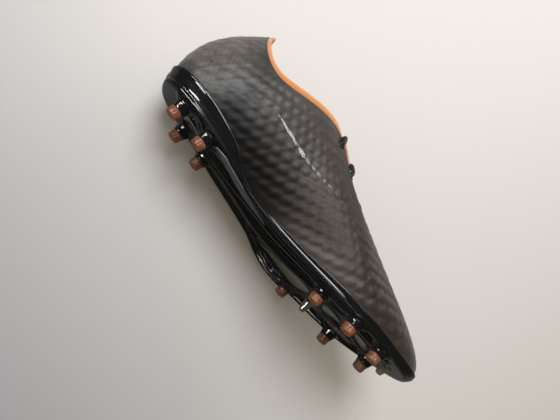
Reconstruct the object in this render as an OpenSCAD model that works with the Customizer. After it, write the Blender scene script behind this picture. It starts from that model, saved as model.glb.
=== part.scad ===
// Low-cut soccer cleat for the left foot, built from its own separate pieces.
// Frame: +X runs from heel to toe, +Y is the outer (little toe) side, +Z is up.
// The stud tips of the heel stand on z = 0 and the origin is under the middle of the box.

/* [Shoe] */
// Length from the back of the heel to the tip of the toe, mm
shoe_length = 285; // [260:1:310]
// Width across the ball of the foot, mm
ball_width = 102; // [94:1:110]
// Height of the heel corner of the collar above the ground, mm
collar_height = 103; // [94:1:112]

/* [Upper] */
// Thickness of the outer shell, mm
shell_t = 1.4; // [1.0:0.1:1.8]
// Thickness of the lining cloth, mm
lining_t = 0.8; // [0.6:0.1:1.2]
// Thickness of the heel counter, toe puff and eyestays, mm
stiffener_t = 0.8; // [0.6:0.1:1.0]
// Greatest thickness of the collar foam, mm
foam_t = 4.5; // [3:0.5:6]
// Height of the rolled collar lip above the edge of the shell, mm
lip_height = 3.6; // [2.5:0.1:4.5]
// How far the lasting margin of the shell turns in under the foot, mm
lasting_margin = 11; // [8:1:13]
// Thickness of the tongue's face layer, mm
tongue_t = 1.6; // [1.2:0.1:2.0]
// Diameter of the round lace, mm
lace_d = 3.2; // [2.6:0.1:3.4]

/* [Insole] */
// Thickness of the strobel board, mm
board_t = 1.2; // [1:0.1:1.5]
// Thickness of the removable sockliner, mm
sockliner_t = 3.5; // [3:0.5:4.5]

/* [Outsole] */
// Thickness of the side wall of the plate, mm
wall_t = 1.3; // [1.0:0.1:1.6]
// Diameter of a stud where it leaves the plate, mm
stud_base_d = 13; // [11:0.5:14]
// Diameter of a stud at its tip, mm
stud_tip_d = 9; // [8:0.5:10]
// Length of the coloured tip of a stud, mm
stud_tip_len = 5.5; // [4:0.5:6]

/* [Hidden] */
gap = 0.15;                 // play left between neighbouring layers
plate_play = 0.25;          // play between the upper and the plate around it
base_length = 285;          // size that the outline tables are written for
base_width = 102;
base_collar = 103;
base_z = 20;                // heights below this stay put when the collar is raised
du = 0.002;                 // step used to measure the direction of the surface
side_columns = 80;          // columns around the full upper
sole_columns = 34;          // columns along the foot for the pieces under it
grip = 1;                   // how deep a stud post is moulded into the plate

black = [0.05, 0.05, 0.06];
charcoal = [0.33, 0.31, 0.30];
orange = [0.95, 0.50, 0.22];
coral = [0.85, 0.45, 0.38];
clear_grey = [0.55, 0.58, 0.56];
white_board = [0.85, 0.85, 0.82];
silver = [0.75, 0.78, 0.80];

// ---------------------------------------------------------------- outline loops
// Every loop starts at the back of the heel, runs along the inner side to the toe and
// comes back along the outer side.  Station n of one loop belongs to station n of the others.
feather_plan = [          // where the upper meets the plate, seen from above
    [6.5, 0], [9, -18], [30, -25.5], [60, -26], [95, -20], [130, -20], [162, -31], [192, -42],
    [222, -43], [250, -36], [273, -25], [282, -8], [275, 12], [255, 28], [228, 41], [196, 49.5],
    [160, 50], [122, 42], [85, 34], [52, 28], [26, 26], [8.5, 18]];
// Height of the top of the plate, at equal steps from the heel to the toe
floor_heights = [17, 17, 16.2, 14.9, 13.6, 12.7, 12.5, 13, 14, 15.6, 17.9, 20.8, 24.6];
lower_bulge = [           // pulls the side outwards just above the plate
    [-8, 0, 42], [-4, -26, 41], [24, -36, 39], [60, -34, 36], [95, -27, 33], [130, -27, 31],
    [162, -39, 29], [194, -50, 28], [226, -51, 28], [256, -43, 30], [280, -29, 32],
    [291, -8, 34], [283, 14, 33], [260, 33, 32], [231, 48, 31], [197, 58, 30], [160, 59, 31],
    [122, 50, 33], [85, 42, 34], [52, 37, 37], [20, 34, 40], [-4, 25, 42]];
middle_bulge = [          // half way up the side
    [-4, 0, 66], [1, -25, 64], [26, -34, 60], [60, -35, 56], [90, -31, 60], [120, -30, 58],
    [150, -37, 52], [182, -46, 46], [214, -47, 42], [243, -38, 42], [266, -25, 45],
    [276, -8, 48], [267, 10, 47], [247, 27, 44], [218, 42, 44], [184, 51, 46], [150, 51, 51],
    [118, 43, 56], [88, 37, 58], [58, 35, 55], [26, 33, 59], [1, 24, 64]];
upper_bulge = [           // shoulder below the collar and the top of the vamp
    [8, 0, 86], [12, -18, 83], [26, -28, 74], [52, -32, 66], [78, -31, 74], [103, -28, 80],
    [127, -29, 75], [150, -30, 67], [173, -28, 61], [192, -22, 58], [204, -14, 57],
    [208, -6, 57], [204, 3, 57], [194, 13, 58], [175, 22, 61], [152, 27, 67], [128, 28, 74],
    [104, 25, 79], [78, 29, 72], [52, 33, 64], [26, 28, 73], [12, 18, 83]];
top_line = [              // edge of the collar and of the lace opening
    [17, 0, 103], [19, -12, 98], [26, -24, 84], [49, -31, 71], [74, -30, 83.5], [98, -25, 92],
    [116, -18, 92], [130, -15, 87], [142, -13, 83], [150, -11, 80], [156, -9, 78],
    [158, -5, 77.5], [156, -1, 78], [150, 2, 80], [142, 4, 83], [130, 6, 87], [116, 10, 92],
    [98, 18, 91], [74, 27, 82], [48, 31, 70], [26, 24, 83], [19, 12, 97]];
// Share of the side height that the wall of the plate covers, station by station
plate_wall = [0.075, 0.09, 0.125, 0.112, 0.04, 0.018, 0.025, 0.055, 0.055, 0.06, 0.095, 0.13, 0.095,
              0.06, 0.055, 0.055, 0.03, 0.025, 0.045, 0.11, 0.125, 0.09];

// Stud places: x, y and height of the tip above the ground (the toe springs up)
heel_studs = [[30.7, -16.9, 0], [37.7, 15.8, 0], [56.5, -19.3, 0], [62.3, 16.3, 0]];
forefoot_studs = [[185.9, -21.2, 0], [182.6, 43.1, 0], [211.2, -35.3, 1.1], [231.6, 33.5, 1.4],
                  [239.7, -30.7, 4.6], [257.8, 10.3, 5.3]];
clear_nubs = [[199, 23.7, 1.3], [262, -9, 10.5]];

function wrap(i, n) = (i % n + n) % n;
function smooth(a, b, x) = let (t = min(1, max(0, (x - a) / (b - a)))) t * t * (3 - 2 * t);
function mix(a, b, t) = a + (b - a) * t;
function sized(p) = [p.x * shoe_length / base_length, p.y * ball_width / base_width,
    p.z < base_z ? p.z : base_z + (p.z - base_z) * (collar_height - base_z) / (base_collar - base_z)];
shell_scale = shoe_length / base_length;
mid = [141.2 * shell_scale, 3.5 * ball_width / base_width, 0];   // under the middle of the box
function placed(p) = [p.x * shell_scale, p.y * ball_width / base_width, p.z] - mid;

// Smooth curve through equal steps of a list, s counted in steps
function stepped(L, s) =
    let (n = len(L), i = min(n - 2, max(0, floor(s))), f = s - i, b = L[i], c = L[i + 1],
         a = i > 0 ? L[i - 1] : 2 * b - c, e = i + 2 < n ? L[i + 2] : 2 * c - b)
    (pow(1 - f, 3) * a + (3 * pow(f, 3) - 6 * f * f + 4) * b
     + (-3 * pow(f, 3) + 3 * f * f + 3 * f + 1) * c + pow(f, 3) * e) / 6;
function floor_z(x) = stepped(floor_heights, x / base_length * (len(floor_heights) - 1));
feather_line = [for (p = feather_plan) [p.x, p.y, floor_z(p.x)]];
loops = [for (L = [feather_line, lower_bulge, middle_bulge, upper_bulge, top_line])
         [for (p = L) sized(p) - mid]];

// Smooth closed curve steered by a loop of points or numbers
function along(L, u) =
    let (n = len(L), s = (u - floor(u)) * n, i = floor(s), f = s - i)
    (pow(1 - f, 3) * L[wrap(i - 1, n)] + (3 * pow(f, 3) - 6 * f * f + 4) * L[wrap(i, n)]
     + (-3 * pow(f, 3) + 3 * f * f + 3 * f + 1) * L[wrap(i + 1, n)] + pow(f, 3) * L[wrap(i + 2, n)]) / 6;
function rib(u) = [for (L = loops) along(L, u)];
function rib_point(B, v) =
    let (w = 1 - v)
    pow(w, 4) * B[0] + 4 * v * pow(w, 3) * B[1] + 6 * v * v * w * w * B[2]
    + 4 * pow(v, 3) * w * B[3] + pow(v, 4) * B[4];
function rib_slope(B, v) =
    let (w = 1 - v)
    4 * (pow(w, 3) * (B[1] - B[0]) + 3 * v * w * w * (B[2] - B[1]) + 3 * v * v * w * (B[3] - B[2])
         + pow(v, 3) * (B[4] - B[3]));
function unit(p) = p / norm(p);

// A column of points at u.  Each row is [v, depth, rise]: v runs from the plate (0) to the top
// line (1), depth goes inwards from the outer face and rise carries on beyond the top line.
function column(u, rows) =
    let (B = rib(u), A = rib(u - du), C = rib(u + du))
    [for (r = rows)
        let (slope = rib_slope(B, r[0]), n = unit(cross(rib_point(C, r[0]) - rib_point(A, r[0]), slope)))
        rib_point(B, r[0]) - r[1] * n + (len(r) > 2 ? r[2] : 0) * unit(slope)];
function side(u, v, d) = column(u, [[v, d]])[0];

// Point under the foot: the feather line moved inwards by inset and up by lift
function under(u, inset, lift) =
    let (t = along(loops[0], u + du) - along(loops[0], u - du), n = unit([t.y, -t.x, 0]))
    on_floor(along(loops[0], u) - inset * n, lift);
function on_floor(p, lift) = [p.x, p.y, floor_z((p.x + mid.x) / shell_scale) + lift];

// ---------------------------------------------------------------- solid builders
// Joins columns of points into a closed solid.  Each column is a closed outline whose first
// half is the outer face and whose second half comes back along the inner face.
module layer(columns, closed = false) {
    n = len(columns);
    k = len(columns[0]);
    spans = closed ? n : n - 1;
    skin = [for (i = [0 : spans - 1], j = [0 : k - 1])
        let (a = i * k + j, b = i * k + (j + 1) % k, c = ((i + 1) % n) * k + (j + 1) % k,
             e = ((i + 1) % n) * k + j)
        each [[a, b, c], [a, c, e]]];
    end = (n - 1) * k;
    caps = closed ? [] : [for (j = [0 : k / 2 - 2])
        let (p = j, q = j + 1, r = k - 2 - j, s = k - 1 - j)
        each [[q, p, s], [q, s, r], [end + p, end + q, end + r], [end + p, end + r, end + s]]];
    polyhedron(points = [for (c = columns) each c], faces = concat(skin, caps));
}

// Joins cross-sections of a dish into a closed solid.  Every section has an outer row and an
// inner row of the same length.  At a pointed end both halves of the rows meet.
module dish(outer, inner, wall_rows, pointed_start = true, pointed_end = true) {
    n = len(outer);
    m = len(outer[0]);
    function folded(j) = min(min(j, m - 1 - j), wall_rows);
    function spot(i, j) = (i == 0 && pointed_start) || (i == n - 1 && pointed_end) ? folded(j) : j;
    function out_at(i, j) = i * 2 * m + spot(i, j);
    function in_at(i, j) = i * 2 * m + m + spot(i, j);
    function tidy(faces) = [for (f = faces) if (f[0] != f[1] && f[1] != f[2] && f[2] != f[0]) f];
    sheets = [for (i = [0 : n - 2], j = [0 : m - 2])
        each [[out_at(i, j), out_at(i + 1, j), out_at(i + 1, j + 1)],
              [out_at(i, j), out_at(i + 1, j + 1), out_at(i, j + 1)],
              [in_at(i, j), in_at(i + 1, j + 1), in_at(i + 1, j)],
              [in_at(i, j), in_at(i, j + 1), in_at(i + 1, j + 1)]]];
    rims = [for (i = [0 : n - 2])
        each [[out_at(i, 0), in_at(i, 0), in_at(i + 1, 0)],
              [out_at(i, 0), in_at(i + 1, 0), out_at(i + 1, 0)],
              [out_at(i, m - 1), in_at(i + 1, m - 1), in_at(i, m - 1)],
              [out_at(i, m - 1), out_at(i + 1, m - 1), in_at(i + 1, m - 1)]]];
    start = pointed_start ? [] : [for (j = [0 : m - 2])
        each [[out_at(0, j), out_at(0, j + 1), in_at(0, j + 1)],
              [out_at(0, j), in_at(0, j + 1), in_at(0, j)]]];
    finish = pointed_end ? [] : [for (j = [0 : m - 2])
        each [[out_at(n - 1, j), in_at(n - 1, j + 1), out_at(n - 1, j + 1)],
              [out_at(n - 1, j), in_at(n - 1, j), in_at(n - 1, j + 1)]]];
    polyhedron(points = [for (i = [0 : n - 1]) each concat(outer[i], inner[i])],
               faces = tidy(concat(sheets, rims, start, finish)));
}

// Flat-lying slab under the foot between two lifts above the feather line
module slab(inset, low, high, u0 = 0, u1 = 0.5, across = 6) {
    stations = [for (i = [0 : sole_columns]) foot_station(u0, u1, i / sole_columns)];
    function row(u, lift) = [for (j = [0 : across])
        on_floor(mix(under(u, inset, 0), under(1 - u, inset, 0), j / across), lift)];
    dish([for (u = stations) row(u, low)], [for (u = stations) row(u, high)], 0,
         u0 == 0, u1 == 0.5);
}
// Stations crowd together towards the heel and the toe
function foot_station(u0, u1, t) = mix(mix(u0, u1, t), mix(u0, u1, (1 - cos(180 * t)) / 2), 0.6);

// ---------------------------------------------------------------- layers of the upper
function heel_zone(u, v) = (1 - smooth(0.17, 0.22, min(u, 1 - u))) * (1 - smooth(0.55, 0.65, v));
function toe_zone(u, v) = smooth(0.37, 0.41, min(u, 1 - u)) * (1 - smooth(0.42, 0.5, v));
function eyestay_zone(u, v) = smooth(0.22, 0.26, min(u, 1 - u)) * smooth(0.78, 0.86, v);
function collar_zone(u, v) =
    (1 - smooth(0.12, 0.24, min(u, 1 - u))) * smooth(0.6, 0.75, v) * (1 - smooth(0.88, 1, v));
inner_face = shell_t + gap;
function lining_depth(u, v) =
    inner_face + (stiffener_t + gap) * max(heel_zone(u, v), toe_zone(u, v), eyestay_zone(u, v))
    + (foam_t + gap) * collar_zone(u, v);
// Height shares of the rows that all side layers have in common, so that their facets match
side_rows = [0, 0.05, 0.1, 0.18, 0.27, 0.36, 0.45, 0.55, 0.62, 0.68, 0.74, 0.8, 0.86, 0.92, 0.96, 1];
function rows_between(a, b) = [for (v = side_rows) if (v >= a - 0.001 && v <= b + 0.001) v];
lining_low = 0.05;          // the linings start just above the board
function steps(a, b, n) = [for (i = [0 : n]) mix(a, b, i / n)];
function flipped(L) = [for (i = [len(L) - 1 : -1 : 0]) L[i]];

module upper_shell() {
    color(charcoal)
    layer([for (i = [0 : side_columns - 1])
        let (u = i / side_columns,
             face = column(u, [for (v = side_rows) [v, 0]]),
             back = column(u, [for (v = flipped(side_rows)) [max(v, 0.012), shell_t]]))
        concat([under(u, lasting_margin, 0), under(u, 1, 0)], face, back,
               [under(u, shell_t + 0.6, shell_t), under(u, lasting_margin, shell_t)])], true);
}

function lip(u) = 0.9 + (lip_height - 0.9) * (1 - smooth(0.23, 0.268, min(u, 1 - u)));
function lined(u, v0, v1) =
    [for (v = rows_between(v0, v1)) [v, lining_depth(u, v)]];
function lined_back(u, v0, v1) =
    [for (v = flipped(rows_between(v0, v1))) [v, lining_depth(u, v) + lining_t]];
quarter_end = 0.27;         // the heel lining and the forefoot lining meet here
// Stations of the shell's own columns between two places, ends included
function stations_between(a, b) = concat([a],
    [for (i = [ceil((a + 0.002) * side_columns) : floor((b - 0.002) * side_columns)]) i / side_columns], [b]);

module quarter_lining() {
    color(orange)
    layer([for (w = stations_between(-quarter_end, quarter_end))
        let (u = w - floor(w), h = lip(u), inside = lining_depth(u, 1) + lining_t)
        column(u, concat(lined(u, lining_low, 1),
            [[1, lining_depth(u, 1), gap], [1, 0.3, gap], [1, 0.1, 0.5 * h], [1, 0.5, 0.85 * h],
             [1, 1.3, h], [1, inside - 0.8, h], [1, inside - 0.3, 0.9 * h], [1, inside, 0.6 * h],
             [1, inside, 0.3 * h], [1, inside, gap]],
            lined_back(u, lining_low, 1)))]);
}

module vamp_lining() {
    color(clear_grey)
    layer([for (u = stations_between(quarter_end + 0.001, 1 - quarter_end - 0.001))
        column(u, concat(lined(u, lining_low, 1), lined_back(u, lining_low, 1)))]);
}

// A layer that follows the side between two columns and two rows of the shell
module stiffener(first, last, v0, v1) {
    layer([for (i = [first : last])
        let (u = wrap(i, side_columns) / side_columns)
        column(u, concat([for (v = rows_between(v0, v1)) [v, inner_face]],
                         [for (v = flipped(rows_between(v0, v1))) [v, inner_face + stiffener_t]]))]);
}
// A thin panel that stands proud of the side of the plate
module panel(u0, u1, v0, v1, outer, inner, nu, nv) {
    layer([for (i = [0 : nu])
        let (w = mix(u0, u1, i / nu), u = w - floor(w))
        column(u, concat([for (v = steps(v0, v1, nv)) [v, outer]],
                         [for (v = steps(v1, v0, nv)) [v, inner]]))]);
}

module collar_foam() {
    color(clear_grey)
    layer([for (i = [-14 : 14])
        let (u = wrap(i, side_columns) / side_columns)
        column(u, concat([for (v = rows_between(0.68, 0.92)) [v, inner_face]],
                         [for (v = flipped(rows_between(0.68, 0.92)))
                             [v, lining_depth(u, v) - 2.5 * gap]]))]);
}
module heel_counter() {
    color(white_board)
    stiffener(-13, 13, 0.1, 0.45);
}
module toe_puff() {
    color(white_board)
    stiffener(34, 46, 0.1, 0.36);
}
module eyestay_medial() {
    color(black)
    stiffener(22, 36, 0.86, 0.96);
}
module eyestay_lateral() {
    color(black)
    stiffener(44, 58, 0.86, 0.96);
}

// ---------------------------------------------------------------- lacing and tongue
lace_rows = [0.40, 0.33, 0.275];   // places of the eyelet pairs along the top line, toe end first
eyelet_v = 0.93;                   // height share of the eyelets
eyelet_r = lace_d / 2 + 0.3;
tongue_depth = inner_face + stiffener_t + lining_t + lace_d + 1.8;   // leaves room for the lace
tongue_rise = tongue_depth - 0.8;  // how far the crown of the tongue stands up in a wide opening

module on_side(u, v, d) {
    p = side(u, v, d);
    n = unit(side(u, v, -1) - side(u, v, 1));
    translate(p)
    rotate([0, acos(n.z), atan2(n.y, n.x)])
    children();
}

module eyelets() {
    color(black)
    for (u = lace_rows, w = [u, 1 - u])
        on_side(w, eyelet_v, 0)
        rotate_extrude($fn = 24)
        translate([eyelet_r + 0.75, 0.2])
        circle(d = 1.1, $fn = 16);
}

// Middle of the opening between the two edges, raised over the crown of the tongue
function crown(u, t, up, deep = 0) =
    let (a = side(u, 1, tongue_depth + deep), b = side(1 - u, 1, tongue_depth + deep),
         rise = min(tongue_rise, 0.42 * norm(a - b)))
    mix(a, b, t) + [0, 0, rise * pow(sin(180 * t), 2) + up];
over = lace_d / 2 + 0.4;
inside_d = inner_face + stiffener_t + lining_t + lace_d / 2 + 0.7;
function bar_middle(u, t) =
    mix(side(u, 1, -over), side(1 - u, 1, -over), t) + [0, 0, 0.8 * sin(180 * t)];
function bar(u) = [
    side(1 - u, eyelet_v, inside_d), side(1 - u, eyelet_v, 1), side(1 - u, eyelet_v + 0.02, -over),
    side(1 - u, 1, -over), bar_middle(u, 0.7), bar_middle(u, 0.5), bar_middle(u, 0.3),
    side(u, 1, -over), side(u, eyelet_v + 0.02, -over), side(u, eyelet_v, 1),
    side(u, eyelet_v, inside_d)];
function cross_over(u, w) = [
    side(mix(u, w, 0.15), 0.985, inside_d), crown(mix(u, w, 0.4), 0.3, over + 0.6),
    crown(mix(u, w, 0.5), 0.5, over + 0.2), crown(mix(u, w, 0.6), 0.7, over + 0.6),
    side(1 - mix(u, w, 0.85), 0.985, inside_d)];
first_u = 1 - lace_rows[0];
last_u = lace_rows[2];
lace_path = concat(
    [side(first_u, 0.76, inside_d - 0.4), side(first_u, 0.85, inside_d)],
    bar(lace_rows[0]), cross_over(lace_rows[0], lace_rows[1]),
    bar(lace_rows[1]), cross_over(lace_rows[1], lace_rows[2]), bar(lace_rows[2]),
    [side(last_u, 0.85, inside_d), side(last_u, 0.76, inside_d - 0.4)]);

// Smooth open curve through a list of points
function curve_point(P, s) =
    let (n = len(P), i = min(n - 2, floor(s)), f = s - i, a = P[max(0, i - 1)], b = P[i],
         c = P[i + 1], e = P[min(n - 1, i + 2)])
    0.5 * (2 * b + (c - a) * f + (2 * a - 5 * b + 4 * c - e) * f * f + (3 * b - a - 3 * c + e) * pow(f, 3));
module cord(P, d, per = 3, sides = 8) {
    n = (len(P) - 1) * per;
    dots = [for (i = [0 : n]) curve_point(P, i / per)];
    dirs = [for (i = [0 : n]) unit(dots[min(n, i + 1)] - dots[max(0, i - 1)])];
    function carried(i, N) = i > n ? N :
        carried(i + 1, concat(N, [unit(N[i - 1] - (N[i - 1] * dirs[i]) * dirs[i])]));
    frames = carried(1, [unit(cross(dirs[0], [0.3, 0.2, 1]))]);
    rings = [for (i = [0 : n]) let (s = frames[i], t = cross(dirs[i], s))
        [for (k = [0 : sides - 1]) dots[i] + d / 2 * (cos(360 * k / sides) * s + sin(360 * k / sides) * t)]];
    skin = [for (i = [0 : n - 1], k = [0 : sides - 1])
        let (a = i * sides + k, b = i * sides + (k + 1) % sides)
        each [[a, a + sides, b + sides], [a, b + sides, b]]];
    polyhedron(points = [for (r = rings) each r], faces = concat(skin,
        [[for (k = [0 : sides - 1]) k], [for (k = [sides - 1 : -1 : 0]) n * sides + k]]));
}

module lace() {
    color(black)
    cord(lace_path, lace_d);
}
module tube_between(p, q, d) {
    v = q - p;
    translate(p)
    rotate([0, acos(v.z / norm(v)), atan2(v.y, v.x)])
    cylinder(d = d, h = norm(v), $fn = 24);
}
module aglets() {
    last = len(lace_path) - 1;
    tip = 11;
    color(silver) {
        tube_between(lace_path[0], lace_path[0] + tip * unit(lace_path[0] - lace_path[1]), lace_d + 0.4);
        tube_between(lace_path[last],
                     lace_path[last] + tip * unit(lace_path[last] - lace_path[last - 1]), lace_d + 0.4);
    }
}

tongue_top = 0.24;          // station of the free end of the tongue
tongue_base = 0.462;        // station of the sewn end
// The wings of the tongue get narrower towards the sewn end
function wing(u) = mix(0.86, 0.96, smooth(0.36, tongue_base, u));
function tongue_row(u, extra) = concat(
    [for (v = [wing(u), mix(wing(u), 1, 0.5)]) side(u, v, tongue_depth + extra)],
    [for (t = steps(0, 1, 8)) crown(u, t, 0, extra)],
    [for (v = [mix(wing(u), 1, 0.5), wing(u)]) side(1 - u, v, tongue_depth + extra)]);
module tongue_sheet(high, low) {
    layer([for (i = [0 : 20])
        let (u = mix(tongue_top, tongue_base, i / 20),
             far = 0.5 * (smooth(0.9, 1, i / 20)))
        concat(tongue_row(u, high + far), flipped(tongue_row(u, low + far)))]);
}
module tongue() {
    color(coral)
    tongue_sheet(0, tongue_t);
}
module tongue_backing() {
    color(orange)
    tongue_sheet(tongue_t + 2 * gap, tongue_t + 2 * gap + 1);
}

// ---------------------------------------------------------------- pieces under the foot
module strobel_board() {
    color(white_board)
    slab(shell_t + 0.9, shell_t + gap, shell_t + gap + board_t);
}
pad_t = 1;                   // thickness of the heel pad stuck under the sockliner
sock_low = shell_t + board_t + 4 * gap + pad_t;
module sockliner() {
    color(orange)
    slab(shell_t + stiffener_t + lining_t + 1.8, sock_low, sock_low + sockliner_t, across = 8);
}
module heel_pad() {
    color(clear_grey)
    slab(12, sock_low - pad_t - gap, sock_low - gap, 0, 0.13, across = 4);
}

// Thickness of the plate under the foot along its length
function plate_t(x) = lookup(x / shell_scale, [[0, 4], [60, 4], [110, 3.2], [150, 2.8], [220, 3.6], [285, 3]]);
function sole_point(p) = on_floor(p, -plate_t(p.x + mid.x));
function plate_side(u, s) =
    let (top = along(plate_wall, u))
    [for (k = [4 : -1 : 0]) side(u, top * k / 4, s)];
function plate_low(u) =
    let (f = along(loops[0], u), t = plate_t(f.x + mid.x))
    [under(u, 0.5 - wall_t - plate_play, -0.6 * t), under(u, 2.2, -t)];
across_plate = 8;
module plate_body() {
    stations = [for (i = [0 : sole_columns + 6]) foot_station(0, 0.5, i / (sole_columns + 6))];
    function bottom(u) = let (a = plate_low(u), b = plate_low(1 - u))
        concat(plate_side(u, -wall_t - plate_play), [a[0]],
               [for (k = [0 : across_plate]) sole_point(mix(a[1], b[1], k / across_plate))],
               [b[0]], flipped(plate_side(1 - u, -wall_t - plate_play)));
    function top(u) = let (a = under(u, 0.6, 0), b = under(1 - u, 0.6, 0))
        concat(plate_side(u, -plate_play), [under(u, -plate_play / 2, -plate_play)],
               [for (k = [0 : across_plate]) on_floor(mix(a, b, k / across_plate), -plate_play)],
               [under(1 - u, -plate_play / 2, -plate_play)], flipped(plate_side(1 - u, -plate_play)));
    dish([for (u = stations) bottom(u)], [for (u = stations) top(u)], 6);
}
windows = [
    [[130, 40.5], [149, 29.5], [168, 15], [173, 17], [173, 37], [152, 41.5]],
    [[201, 8], [199, -7], [213, -13.5], [216, -6], [212, 3], [205, 13]],
    [[221, 30], [216, 17.5], [218.5, 12], [225, 10], [235, 2], [243, 20], [238, 26]],
    [[224, -19.5], [233, -21.5], [237, -19], [241, -12], [233, -4], [228, -10.5]]];
function centre(w) = [for (k = [0, 1]) let (c = [for (p = w) p[k]]) (c * [for (p = w) 1]) / len(w)];
module window_prisms(share) {
    for (w = windows)
        linear_extrude(40)
        polygon([for (p = w) let (m = centre(w) + share * (p - centre(w)), q = placed([m.x, m.y, 0]))
            [q.x, q.y]]);
}
module outsole_plate() {
    color(black)
    difference() {
        plate_body();
        window_prisms(1);
    }
}
// Clear web moulded into the windows of the plate
module forefoot_web() {
    color(clear_grey)
    intersection() {
        slab(1, -2.2, -0.5, 0.22, 0.47, across = 4);
        window_prisms(0.98);
    }
}
module heel_window() {
    color(clear_grey)
    panel(-0.024, 0.024, 0.004, 0.05, -wall_t - plate_play - 0.7, -wall_t - plate_play - gap, 6, 3);
}
module toe_bumper() {
    color(clear_grey)
    panel(0.47, 0.53, 0.004, 0.12, -wall_t - plate_play - 0.7, -wall_t - plate_play - gap, 8, 3);
}

// Height of the plate's underside at a place along the shoe
function underside(x) =
    floor_z(x) - plate_t(x * shell_scale);
module stud_post(p) {
    foot = p.z + stud_tip_len;
    translate([0, 0, foot])
    cylinder(d1 = stud_tip_d + 1.4, d2 = stud_base_d, h = underside(p.x) + grip - foot, $fn = 40);
}
module stud_tip(p) {
    translate([0, 0, p.z])
    cylinder(d1 = stud_tip_d, d2 = stud_tip_d + 1.2, h = stud_tip_len - gap / 2, $fn = 40);
}
module stud_posts() {
    color(black)
    for (p = concat(heel_studs, forefoot_studs))
        translate([placed(p).x, placed(p).y, 0])
        stud_post(p);
}
module stud_tips_heel() {
    color(orange)
    for (p = heel_studs)
        translate([placed(p).x, placed(p).y, 0])
        stud_tip(p);
}
module stud_tips_forefoot() {
    color(orange)
    for (p = forefoot_studs)
        translate([placed(p).x, placed(p).y, 0])
        stud_tip(p);
}
module centre_nubs() {
    color(clear_grey)
    for (p = clear_nubs)
        translate([placed(p).x, placed(p).y, p.z])
        cylinder(d1 = 5, d2 = 9, h = underside(p.x) + grip - p.z, $fn = 32);
}

// ---------------------------------------------------------------- side accents
accent_count = 9;
module accent_marks() {
    color(silver)
    for (i = [0 : accent_count - 1])
        let (t = i / (accent_count - 1), u = mix(0.175, 0.345, t), v = mix(0.74, 0.70, t),
             half_u = 0.011 * (1 - 0.45 * t), half_v = 0.028 * (1 - 0.4 * t))
        layer([column(u - half_u, [[v + half_v * 0.55, -0.3], [v + half_v, -0.3],
                                   [v + half_v, -0.05], [v + half_v * 0.55, -0.05]]),
               column(u, [[v - half_v * 0.45, -0.3], [v + half_v * 0.45, -0.3],
                          [v + half_v * 0.45, -0.05], [v - half_v * 0.45, -0.05]]),
               column(u + half_u, [[v - half_v, -0.3], [v - half_v * 0.55, -0.3],
                                   [v - half_v * 0.55, -0.05], [v - half_v, -0.05]])]);
}

upper_shell();
quarter_lining();
vamp_lining();
collar_foam();
heel_counter();
toe_puff();
eyestay_medial();
eyestay_lateral();
eyelets();
lace();
aglets();
tongue();
tongue_backing();
strobel_board();
sockliner();
heel_pad();
outsole_plate();
forefoot_web();
heel_window();
toe_bumper();
stud_posts();
stud_tips_heel();
stud_tips_forefoot();
centre_nubs();
accent_marks();
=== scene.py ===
"""Low-cut soccer cleat for the left foot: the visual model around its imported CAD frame.

The outline tables are in millimetres, in the shoe's own numbers: x from the back of the heel to the
toe, y to the outer side, z up from the ground.  A point of the side of the shoe is named by u, its
place around the shoe (0 heel, 0.25 inner side, 0.5 toe, 0.75 outer side), and by v, its share of the
height from the plate (0) to the top line (1).  Meshes are in metres, in the frame's coordinates.
"""
import math
import bpy
import bmesh
import numpy as np
from mathutils import Matrix, Vector


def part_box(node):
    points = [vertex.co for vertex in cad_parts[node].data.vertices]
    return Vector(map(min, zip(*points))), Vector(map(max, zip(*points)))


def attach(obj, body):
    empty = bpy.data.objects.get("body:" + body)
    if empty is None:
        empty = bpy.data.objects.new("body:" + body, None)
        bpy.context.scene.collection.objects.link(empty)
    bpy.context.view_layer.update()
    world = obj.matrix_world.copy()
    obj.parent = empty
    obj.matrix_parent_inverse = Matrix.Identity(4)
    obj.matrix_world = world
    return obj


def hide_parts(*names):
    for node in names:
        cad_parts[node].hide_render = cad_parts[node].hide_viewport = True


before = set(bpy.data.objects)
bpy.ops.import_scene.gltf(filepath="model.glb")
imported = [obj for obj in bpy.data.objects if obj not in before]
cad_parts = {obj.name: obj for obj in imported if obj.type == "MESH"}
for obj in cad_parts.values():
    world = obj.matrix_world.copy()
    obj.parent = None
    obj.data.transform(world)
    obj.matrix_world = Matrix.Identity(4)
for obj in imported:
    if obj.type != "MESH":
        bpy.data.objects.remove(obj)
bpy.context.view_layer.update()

MM = 0.001
TURN = 2 * math.pi
MERGE_DISTANCE = 0.02 * MM

# ---- outline tables (mm)
FEATHER_PLAN = [(6.5, 0), (9, -18), (30, -25.5), (60, -26), (95, -20), (130, -20), (162, -31), (192, -42),
    (222, -43), (250, -36), (273, -25), (282, -8), (275, 12), (255, 28), (228, 41), (196, 49.5), (160, 50),
    (122, 42), (85, 34), (52, 28), (26, 26), (8.5, 18)]
FLOOR_HEIGHTS = np.array([17, 17, 16.2, 14.9, 13.6, 12.7, 12.5, 13, 14, 15.6, 17.9, 20.8, 24.6])
LOWER_BULGE = [(-8, 0, 42), (-4, -26, 41), (24, -36, 39), (60, -34, 36), (95, -27, 33), (130, -27, 31),
    (162, -39, 29), (194, -50, 28), (226, -51, 28), (256, -43, 30), (280, -29, 32), (291, -8, 34),
    (283, 14, 33), (260, 33, 32), (231, 48, 31), (197, 58, 30), (160, 59, 31), (122, 50, 33), (85, 42, 34),
    (52, 37, 37), (20, 34, 40), (-4, 25, 42)]
MIDDLE_BULGE = [(-4, 0, 66), (1, -25, 64), (26, -34, 60), (60, -35, 56), (90, -31, 60), (120, -30, 58),
    (150, -37, 52), (182, -46, 46), (214, -47, 42), (243, -38, 42), (266, -25, 45), (276, -8, 48),
    (267, 10, 47), (247, 27, 44), (218, 42, 44), (184, 51, 46), (150, 51, 51), (118, 43, 56), (88, 37, 58),
    (58, 35, 55), (26, 33, 59), (1, 24, 64)]
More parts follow.
